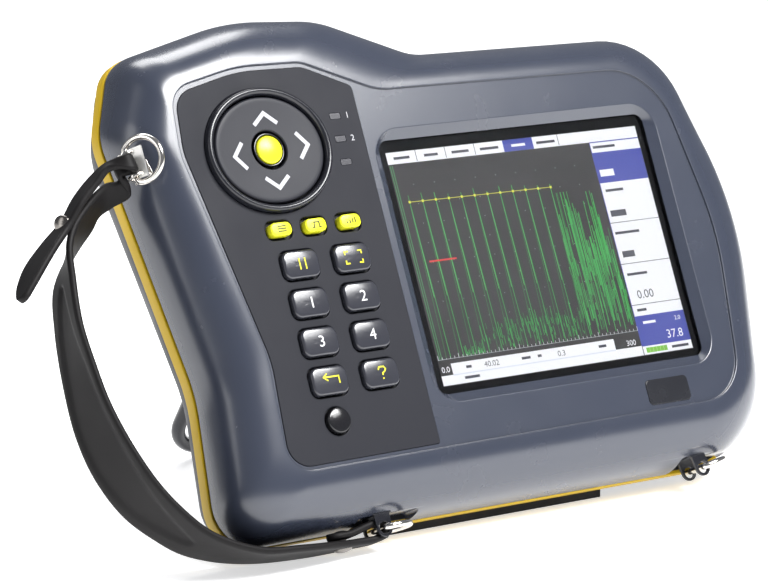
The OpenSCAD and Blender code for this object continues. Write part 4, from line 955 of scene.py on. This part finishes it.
SIGNS = {
    "key_menu": ([[[-1.8, 1.0], [1.8, 1.0]], [[-1.8, 0], [1.8, 0]], [[-1.8, -1.0], [1.8, -1.0]]],
                 LEGEND_DARK),
    "key_gate": ([[[-2.0, -1.0], [-1.1, -1.0], [-1.1, 1.0], [1.1, 1.0], [1.1, -1.0], [2.0, -1.0]]],
                 LEGEND_DARK),
    "key_gain": ([[[-1.8, -1.1], [-1.8, -0.3]], [[-0.6, -1.1], [-0.6, 0.2]],
                  [[0.6, -1.1], [0.6, 0.7]], [[1.8, -1.1], [1.8, 1.2]]], LEGEND_DARK),
    "key_freeze": ([[[-1.1, -1.9], [-1.1, 1.9]], [[1.1, -1.9], [1.1, 1.9]]], LEGEND),
    "key_screen": ([[[-3.2, 0.9], [-3.2, 2.0], [-1.8, 2.0]], [[3.2, 0.9], [3.2, 2.0], [1.8, 2.0]],
                    [[-3.2, -0.9], [-3.2, -2.0], [-1.8, -2.0]], [[3.2, -0.9], [3.2, -2.0], [1.8, -2.0]]],
                   LEGEND),
    "key_recall": ([[[3.0, -1.3], [3.0, 1.1], [-2.6, 1.1]], [[-1.2, 2.3], [-2.7, 1.1], [-1.2, -0.1]]],
                   LEGEND),
    "key_help": ([[[-1.4, 1.0], [-0.9, 1.9], [0.9, 1.9], [1.4, 1.0], [0.9, 0.3], [0, -0.2], [0, -0.9]],
                  [[0, -1.7], [0, -2.2]]], LEGEND)}
for node, (strokes, ink) in SIGNS.items():
    i, j = KEYS[node]
    small = j is None
    x, z = (SMALL_X[i], SMALL_Z) if small else (LARGE_X[i], LARGE_Z[j])
    scale, thick, w, slot = (0.85, 0.42, SMALL[0], "key_yellow") if small else (1, 0.5, LARGE[0], "key_grey")
    top = key_surface(x, z, w)
    parts = [stroke(np.array(s, float) * scale + [x, z], thick, top) for s in strokes]
    finish_piece(make("sign_" + node, *parts), node + "_body", ink, ())

# %% [markdown]
# ## Hand strap
# The strap is one long piece of leather. It starts with a free tail, goes through the upper ring,
# runs down the side in a bow that leaves room for four fingers, turns under the case, goes through
# the lower ring and ends on a short tail. A press stud holds each fold. Two curves, one for each
# edge, describe it; the section is a flat band with round edges and a shallow channel in the grip.

# %%
BAR_UP, BAR_DIR = np.array([-119.3, 4.95, 124.5]), np.array([-0.225, 0, 0.974])
LOOP_OUT, LOOP_BOW = np.array([-0.84, -0.54, 0]), np.array([0.54, -0.84, 0])
BAR_LOW = np.array([-56.6, 13.2, -2.0])
TONGUE, LOOP_R, STRAP_T = 3.1, 2.35, 2.4
turn = np.radians(np.arange(0, 181, 36))
FOLD = BAR_UP + 4.2 * LOOP_OUT
upper = [[FOLD + e * BAR_DIR + LOOP_R * (-math.sin(a) * LOOP_OUT + math.cos(a) * LOOP_BOW)
          for e in (TONGUE, -TONGUE)] for a in turn]
lower = [[BAR_LOW + np.array([LOOP_R * math.sin(a), e, -LOOP_R * math.cos(a)])
          for e in (-TONGUE, TONGUE)] for a in turn]
stations = np.array([
    [[-164.5, 15.5, 89], [-166, 9, 85.5]], [[-159, 17, 97], [-160, 8, 92]],
    [[-150.4, 16.5, 105], [-150.9, 8, 101.6]], [[-142.8, 15, 111.1], [-144.2, 8, 108]],
    [[-137.8, 12, 117.9], [-138.8, 6, 114.4]], [[-131.9, 9, 123.4], [-132.9, 4.5, 119.7]],
    [[-128, 6, 126], [-128.8, 3, 123.3]], *upper, [[-124.1, 7, 120.9], [-120.2, 8, 115.6]],
    [[-128.4, 8, 120.2], [-124.4, 14, 114]], [[-135.8, 9, 114.8], [-127.6, 19, 112.7]],
    [[-141.2, 9, 109.8], [-129.5, 22, 109.4]], [[-145, 8.5, 103.9], [-135.2, 23.5, 103.9]],
    [[-147, 8, 91.4], [-145.3, 24, 92]], [[-148.6, 7, 78], [-148.2, 24.5, 79]],
    [[-147.6, 6.5, 64], [-149.6, 25, 61.5]], [[-145.9, 5.5, 50], [-149.3, 25, 44]],
    [[-141.5, 4.5, 34.5], [-145.6, 25, 29]], [[-135.8, 4, 21.8], [-138.8, 25, 17]],
    [[-130, 3.6, 13], [-131.3, 25, 9.8]], [[-123.2, 3.6, 5.8], [-123.4, 25, 4]],
    [[-114.6, 3.6, 0.6], [-114.6, 25, 0.4]], [[-105, 4, -2.8], [-105, 25, -2]],
    [[-90, 5, -4.2], [-90.5, 25, -3.8]], [[-78, 7, -4.7], [-78, 23, -4.5]],
    [[-67, 9.5, -4.9], [-66.5, 18.5, -4.8]], *lower, [[-62, 10, -0.4], [-62, 16.4, -0.4]],
    [[-68, 10, -1.7], [-68, 16.4, -1.7]], [[-76, 10, -1.7], [-76, 16.4, -1.7]]])


def strap_mesh(stations, thick, count=460, across=30):
    """Band between two edge curves: half thickness h(s) = t/2 * sqrt(1 - ((|s| - 1 + e) / e)^2) near
    the edges, less a lens-shaped channel on the outer side."""
    pair = spline(stations, count)
    near, far = pair[:, 0], pair[:, 1]
    middle = (near + far) / 2
    length = np.concatenate([[0], np.cumsum(np.linalg.norm(np.diff(middle, axis=0), axis=1))])
    end = np.minimum(length, length[-1] - length)
    width = far - near
    plan = np.sqrt(np.clip(1 - (1 - np.clip(end / 4.0, 0.02, 1)) ** 2, 0, 1))
    half = np.linalg.norm(width, axis=1) / 2 * plan
    w = unit(width)
    out = unit(np.cross(np.gradient(middle, axis=0), w))
    s = -np.cos(np.linspace(0, np.pi, across + 1))
    ease = np.clip(1.15 / np.maximum(half, 0.1), 0.02, 0.9)[:, None]
    edge = np.clip((np.abs(s)[None] - 1 + ease) / ease, 0, 1)
    h = thick / 2 * np.sqrt(np.clip(1 - edge**2, 0, 1))
    start = length[np.argmin(np.linalg.norm(middle - [-146, 16, 91], axis=1))]
    stop = length[np.argmin(np.linalg.norm(middle - [-123.3, 14, 5], axis=1))]
    along = np.clip((length - start) / (stop - start), 0, 1)
    channel = (0.74 * np.sin(np.pi * along) ** 0.55)[:, None]
    in_grip = (np.sin(np.pi * along) > 0.02)[:, None]
    dip = 0.75 * (1 / (1 + np.exp(-(channel - np.abs(s)[None]) * 40))) * in_grip
    sheet = middle[:, None] + w[:, None] * (half[:, None] * s)[..., None]
    top = sheet + out[:, None] * h[..., None]
    low = sheet - out[:, None] * (h - dip * (h > 0.6))[..., None]
    ring = np.concatenate([top, low[:, ::-1][:, 1:-1]], 1)
    tip, tail = [np.repeat(row.mean(0)[None, None], ring.shape[1], 1) for row in (ring[0], ring[-1])]
    return skin(np.concatenate([tip, ring, tail]))


leather = make("strap_leather", strap_mesh(stations, STRAP_T), sharp=60)
finish_piece(leather, "strap", LEATHER, ["hand_strap"])


def lathe(a, b, profile, steps=40):
    """Turned piece on the axis from a to b: profile is (radius, distance from a)."""
    a, b = np.array(a, float), np.array(b, float)
    d = unit(b - a)
    x = unit(np.cross(d, [0.3, 0.9, 0.2]))
    y = np.cross(d, x)
    t = np.arange(steps) * 2 * np.pi / steps
    around = x * np.cos(t)[:, None] + y * np.sin(t)[:, None]
    return skin([a + d * h + around * max(r, 1e-4) for r, h in profile])


HEAD_R, HEAD_H, SHANK_R = 3.0, 1.2, 1.5


def stud(a, b):
    """Two domed heads joined by a shank, from one outer face to the other."""
    long = float(np.linalg.norm(np.array(b, float) - np.array(a, float)))
    t = np.radians(np.linspace(0, 90, 9))
    head = list(zip(HEAD_R * np.sin(t), 1.1 * (1 - np.cos(t)) + 0.05))
    rest = [(HEAD_R, HEAD_H), (SHANK_R, HEAD_H)]
    rest += [(r, long - h) for r, h in rest[::-1]]
    return lathe(a, b, head + rest + [(r, long - h) for r, h in head[::-1]])


studs = [stud([-145.8, 10.8, 109.6], [-137.6, 15.2, 110.6]), stud([-71, 13.4, -7.2], [-71, 13.4, 0])]
finish_piece(make("press_studs", *studs), "strap", STUD, ["strap_studs"])

# %% [markdown]
# ## Rings and lugs
# Three D-rings are bent from round wire. Each hangs with its straight side in a small sheet lug.

# %%
def turned_by(x, y, z):
    """Rotation about x, then y, then z, in degrees."""
    a, b, c = np.radians([x, y, z])
    rx = np.array([[1, 0, 0], [0, math.cos(a), -math.sin(a)], [0, math.sin(a), math.cos(a)]])
    ry = np.array([[math.cos(b), 0, math.sin(b)], [0, 1, 0], [-math.sin(b), 0, math.cos(b)]])
    rz = np.array([[math.cos(c), -math.sin(c), 0], [math.sin(c), math.cos(c), 0], [0, 0, 1]])
    return rz @ ry @ rx


LUGS = {"upper_ring": ([-115.2, 7.5, 124.5], turned_by(90, 0, -57.3) @ turned_by(0, 0, 13), "strap"),
        "lower_ring": ([-56.6, 13.2, 2.9], turned_by(180, 0, 0), "strap"),
        "corner_ring": ([73.6, 12.4, 3.7], turned_by(180, -10, 0), "corner_d_ring")}


def d_path():
    """Middle line of a D-ring: straight bar on x = 0, two corners of 1.6 mm and a bow of 7.2 mm."""
    r, chord, corner = 7.2, 4.1, 1.6
    rise = math.sqrt((r - corner) ** 2 - (chord - corner) ** 2)
    swing = math.atan2(rise, corner - chord)
    a = np.linspace(math.pi, swing, 9)
    upper = np.stack([corner + corner * np.cos(a), rise + corner * np.sin(a)], -1)
    b = np.linspace(swing, -swing, 65)[1:-1]
    bow = np.stack([chord + r * np.cos(b), r * np.sin(b)], -1)
    low = upper[::-1] * [1, -1]
    t = np.linspace(-rise, rise, 9)[1:-1, None]
    bar_line = np.hstack([np.zeros_like(t), t])
    return np.concatenate([upper, bow, low, bar_line])


def ring_mesh(origin, turn, wire=1.0, sides=20):
    """Round wire swept along the D: each section circle stands on the middle line's normal."""
    path = d_path()
    run = unit(np.roll(path, -1, 0) - np.roll(path, 1, 0))
    side = np.stack([-run[:, 1], run[:, 0]], -1)
    a = np.arange(sides) * 2 * np.pi / sides
    flat = path[:, None] + side[:, None] * (wire * np.cos(a))[None, :, None]
    p = np.concatenate([flat, np.broadcast_to((wire * np.sin(a))[None, :, None], (len(path), sides, 1))], -1)
    p = np.concatenate([p, p[:1]]) + [0, 0, 4.9]
    return skin(p @ turn.T + origin)


for node, (origin, turn, body) in LUGS.items():
    finish_piece(make(node + "_wire", ring_mesh(np.array(origin), turn)), body, CHROME, [node])

KEEPER = [(0.9, 5.1), (5.9, 4.2), (3.9, -5.7), (0.5, -5.0)]
origin, turn, body = LUGS["upper_ring"]
corners = np.array([[x, y, z] for z in (4.5, 5.3) for x, y in KEEPER])
sides = [[i, (i + 1) % 4, 4 + (i + 1) % 4, 4 + i] for i in range(4)]
faces = [[0, 1, 2, 3], [7, 6, 5, 4], *[q[::-1] for q in sides]]
keeper = make("strap_keeper", (corners @ turn.T + np.array(origin), faces), sharp=20)
finish_piece(keeper, body, BRIGHT, ())

# %% [markdown]
# ## Pieces dressed from the CAD shapes
# Lugs, screws, sockets and the other small hard parts keep their exact shape. A copy of each mesh is
# welded, its flat faces are merged, and every edge gets a small bevel, because no real edge is
# perfectly sharp and the bevel is what catches the light.

# %%
def dressed(node, body, look, bevel):
    """Welded copy of a CAD node with small bevels, baked into a plain mesh."""
    source = frame["nodes"][node]
    mesh = source.data.copy()
    mesh.transform(source.matrix_world)
    obj = standing(node + "_dressed", mesh)
    weld = obj.modifiers.new("weld", "WELD")
    weld.merge_threshold = 2e-6
    flat = obj.modifiers.new("flat", "DECIMATE")
    flat.decimate_type, flat.angle_limit = "DISSOLVE", math.radians(0.6)
    edge = obj.modifiers.new("edge", "BEVEL")
    edge.width, edge.segments, edge.use_clamp_overlap = bevel / 1000, 2, True
    edge.limit_method, edge.angle_limit = "ANGLE", math.radians(40)
    result = baked(obj)
    obj.modifiers.clear()
    obj.data = result
    smooth(obj, 35)
    return finish_piece(obj, body, look, [node])


for node, body, look, bevel, slot in [
        ("ring_lugs", "case", CHROME, 0.15, "bright"), ("battery_cover", "case", COVER, 0.3, "cover"),
        ("cover_screws", "case", STEEL, 0.12, "screw"), ("case_screws", "case", STEEL, 0.15, "screw"),
        ("stand_lugs", "case", STEEL, 0.2, "screw"), ("foot_bar", "case", RUBBER, 0.3, "stand_rubber"),
        ("stand_sleeve", "stand", RUBBER, 0.3, "stand_rubber"),
        ("stand_bail", "stand", TRIM, 0.0, "stand_wire"),
        ("probe_socket_a", "case", SOCKET, 0.12, "socket"),
        ("probe_socket_b", "case", SOCKET, 0.12, "socket"),
        ("data_socket", "case", SOCKET, 0.15, "port"), ("port_cover", "port_flap", PORT, 0.2, "port")]:
    piece = dressed(node, body, look, bevel)
    # painted shade: the two lugs at the bottom of the case (x above -90 mm) get the dark trim instead of
    # chrome, for the shade under the case
    if node == "ring_lugs":
        piece.data.materials.append(TRIM)
        low = np.array([f.center.x > -0.09 for f in piece.data.polygons])
        piece.data.polygons.foreach_set("material_index", low.astype(np.int32))

# %% [markdown]
# ## Rear shell
# The rear moulding mirrors the front: a rounded edge runs from the seam to a flat back. A raised
# housing holds the battery, and a pocket in its upper right corner shields the sockets.

# %%
HOUSING = np.array([[-78, 28, 9], [-80, 128, 12], [12, 128, 6], [12, 99, 6], [82, 99, 12], [80, 28, 9]])
HOUSE_Y = 42.0
rear_line, back_line = outline(grown(BODY, -1.0)), outline(grown(FACE, -1.2))
rings = []
for t in np.radians(np.linspace(0, 90, 29)):
    inwards = 0.25 * math.sin(t) + 0.75 * (1 - math.cos(t))
    rings.append(at_depth(rear_line + (back_line - rear_line) * inwards,
                          REAR_Y + (BACK_Y - REAR_Y) * math.sin(t)))
dome_patches = [plate(rear_line, (), REAR_Y), skin(rings), plate(back_line, (), BACK_Y, back=True)]
roll, turns = [(0, HOUSE_Y), (0, HOUSING_Y - 2)], np.radians(np.linspace(15, 90, 6))
roll += [(-2 * (1 - math.cos(a)), HOUSING_Y - 2 + 2 * math.sin(a)) for a in turns]
house = [plate(outline(HOUSING), (), HOUSE_Y),
         skin([at_depth(outline(grown(HOUSING, d)), y) for d, y in roll]),
         plate(outline(grown(HOUSING, -2)), (), HOUSING_Y, back=True)]
whole = carve(dome_patches, house, how="UNION")
PORT_X, OUTSIDE = 59, 80
SHELF_Y, SEAT_Y, BAY_Y, SCREW_Y = 33.5, 61.6, 48.5, 43.6
tools = [prism(outline(box_corners(PORT_X, 163, 74, 60, 4)), SHELF_Y, OUTSIDE),
         prism(outline(box_corners(0, 60, 94.1, 60.1, 7)), SEAT_Y, OUTSIDE),
         prism(outline(box_corners(0, 60, 84, 50, 2)), BAY_Y, OUTSIDE)]
for x, z in [(-85.5, 36), (-95.5, 126), (91, 50), (91.3, 112)]:
    tools.append(prism(oval(x, z, 3.0, 3.0, 48), SCREW_Y, 60))
shell = carve([whole], *tools)
ears = [prism(outline(box_corners(PORT_X + e * 8.2, 136.1, 1.6, 8.2, 0.3)), 42.8, 45.8) for e in (-1, 1)]
# the rear shell's darker colour is painted shade, not a different plastic
finish_piece(make("case_rear", shell, *ears[0], *ears[1], sharp=20), "case", REAR_PAINTED_SHADE, ["rear_shell"])

# %% [markdown]
# ## Surfaces of the inner pieces
# The boards, the battery and the other inner pieces keep their CAD meshes and get plain materials.

# %%
# painted shade: pad_pivot gets the dark trim rather than steel, so the gap round the OK button stays dark
for names, look in [(["keypad_mat", "alarm_sounder"], GASKET), (["keypad_board", "main_board"], BOARD),
                    (["lcd_bracket", "input_shield", "cover_pin"], STEEL),
                    (["lcd_module", "battery_pack", "pad_pivot"], TRIM), (["battery_contacts"], GOLD)]:
    for name in names:
        node = frame["nodes"][name]
        node.data.materials.clear()
        node.data.materials.append(look)
print("inner pieces painted")

# %% [markdown]
# ## Floor, light and camera
# The photograph is a studio shot on white. One soft light hangs in front above the case, one behind
# above it, a small one makes the sheen, and a strip stands on the left. The white floor shows only a
# faint shadow.

# %%
def lamp(name, at, aim, width, height, power):
    """A rectangular soft light at one point that faces another."""
    data = bpy.data.lights.new(name, "AREA")
    data.shape, data.size, data.size_y, data.energy = "RECTANGLE", width, height, power
    obj = standing(name, data)
    obj.location = at
    obj.rotation_mode = "QUATERNION"
    obj.rotation_quaternion = (Vector(aim) - Vector(at)).to_track_quat("-Z", "Y")


floor_mesh = bpy.data.meshes.new("floor")
floor_mesh.from_pydata([(-6, -6, 0), (6, -6, 0), (6, 9, 0), (-6, 9, 0)], [], [(0, 1, 2, 3)])
floor = standing("floor", floor_mesh)
floor_look = bpy.data.materials.new("white_floor")
floor_look.use_nodes = True
bsdf = floor_look.node_tree.nodes["Principled BSDF"]
bsdf.inputs["Base Color"].default_value = (0.95, 0.95, 0.95, 1)
bsdf.inputs["Roughness"].default_value = 0.55
bsdf.inputs["Specular IOR Level"].default_value = 0.3
bsdf.inputs["Emission Color"].default_value = (1, 1, 1, 1)
bsdf.inputs["Emission Strength"].default_value = 0.6
floor_mesh.materials.append(floor_look)

CENTRE = (0.0, 0.05, 0.08)
lamp("key_light", (0.25, -0.7, 1.1), (-0.05, 0.03, 0.1), 0.75, 0.45, 24)
lamp("top_light", (0.15, 0.75, 1.3), CENTRE, 1.0, 0.6, 13)
lamp("sheen_light", (0.36, -0.66, 0.8), (-0.06, 0.0, 0.13), 0.4, 0.25, 3.5)
lamp("left_strip", (-1.1, 0.1, 0.35), CENTRE, 0.3, 0.9, 2)

world = bpy.data.worlds.new("studio")
bpy.context.scene.world = world
world.use_nodes = True
nodes, links = world.node_tree.nodes, world.node_tree.links
nodes.clear()
path = nodes.new("ShaderNodeLightPath")
room, white = nodes.new("ShaderNodeBackground"), nodes.new("ShaderNodeBackground")
room.inputs["Color"].default_value = (0.9, 0.93, 1.0, 1)
room.inputs["Strength"].default_value = 0.24
white.inputs["Color"].default_value = (1, 1, 1, 1)
white.inputs["Strength"].default_value = 1.0
choose, result = nodes.new("ShaderNodeMixShader"), nodes.new("ShaderNodeOutputWorld")
links.new(path.outputs["Is Camera Ray"], choose.inputs["Fac"])
links.new(room.outputs["Background"], choose.inputs[1])
links.new(white.outputs["Background"], choose.inputs[2])
links.new(choose.outputs["Shader"], result.inputs["Surface"])

data = bpy.data.cameras.new("camera")
data.lens, data.sensor_width = 165.7663, 36.0
data.clip_start, data.clip_end = 0.05, 50
camera = standing("camera", data)
right = Vector((0.8250660521, -0.5650361850, 0.0003455055))
down = Vector((-0.1122139814, -0.1644541321, -0.9799810513))
forward = Vector((0.5537815743, 0.8085103266, -0.1990914815))
turn = Matrix((right, -down, -forward)).transposed()
camera.rotation_mode = "QUATERNION"
camera.rotation_quaternion = turn.to_quaternion()
camera.location = (-0.6754827, -0.9283677, 0.3080254)
bpy.context.scene.camera = camera
bpy.context.scene.view_settings.view_transform = "Standard"
print("camera set")
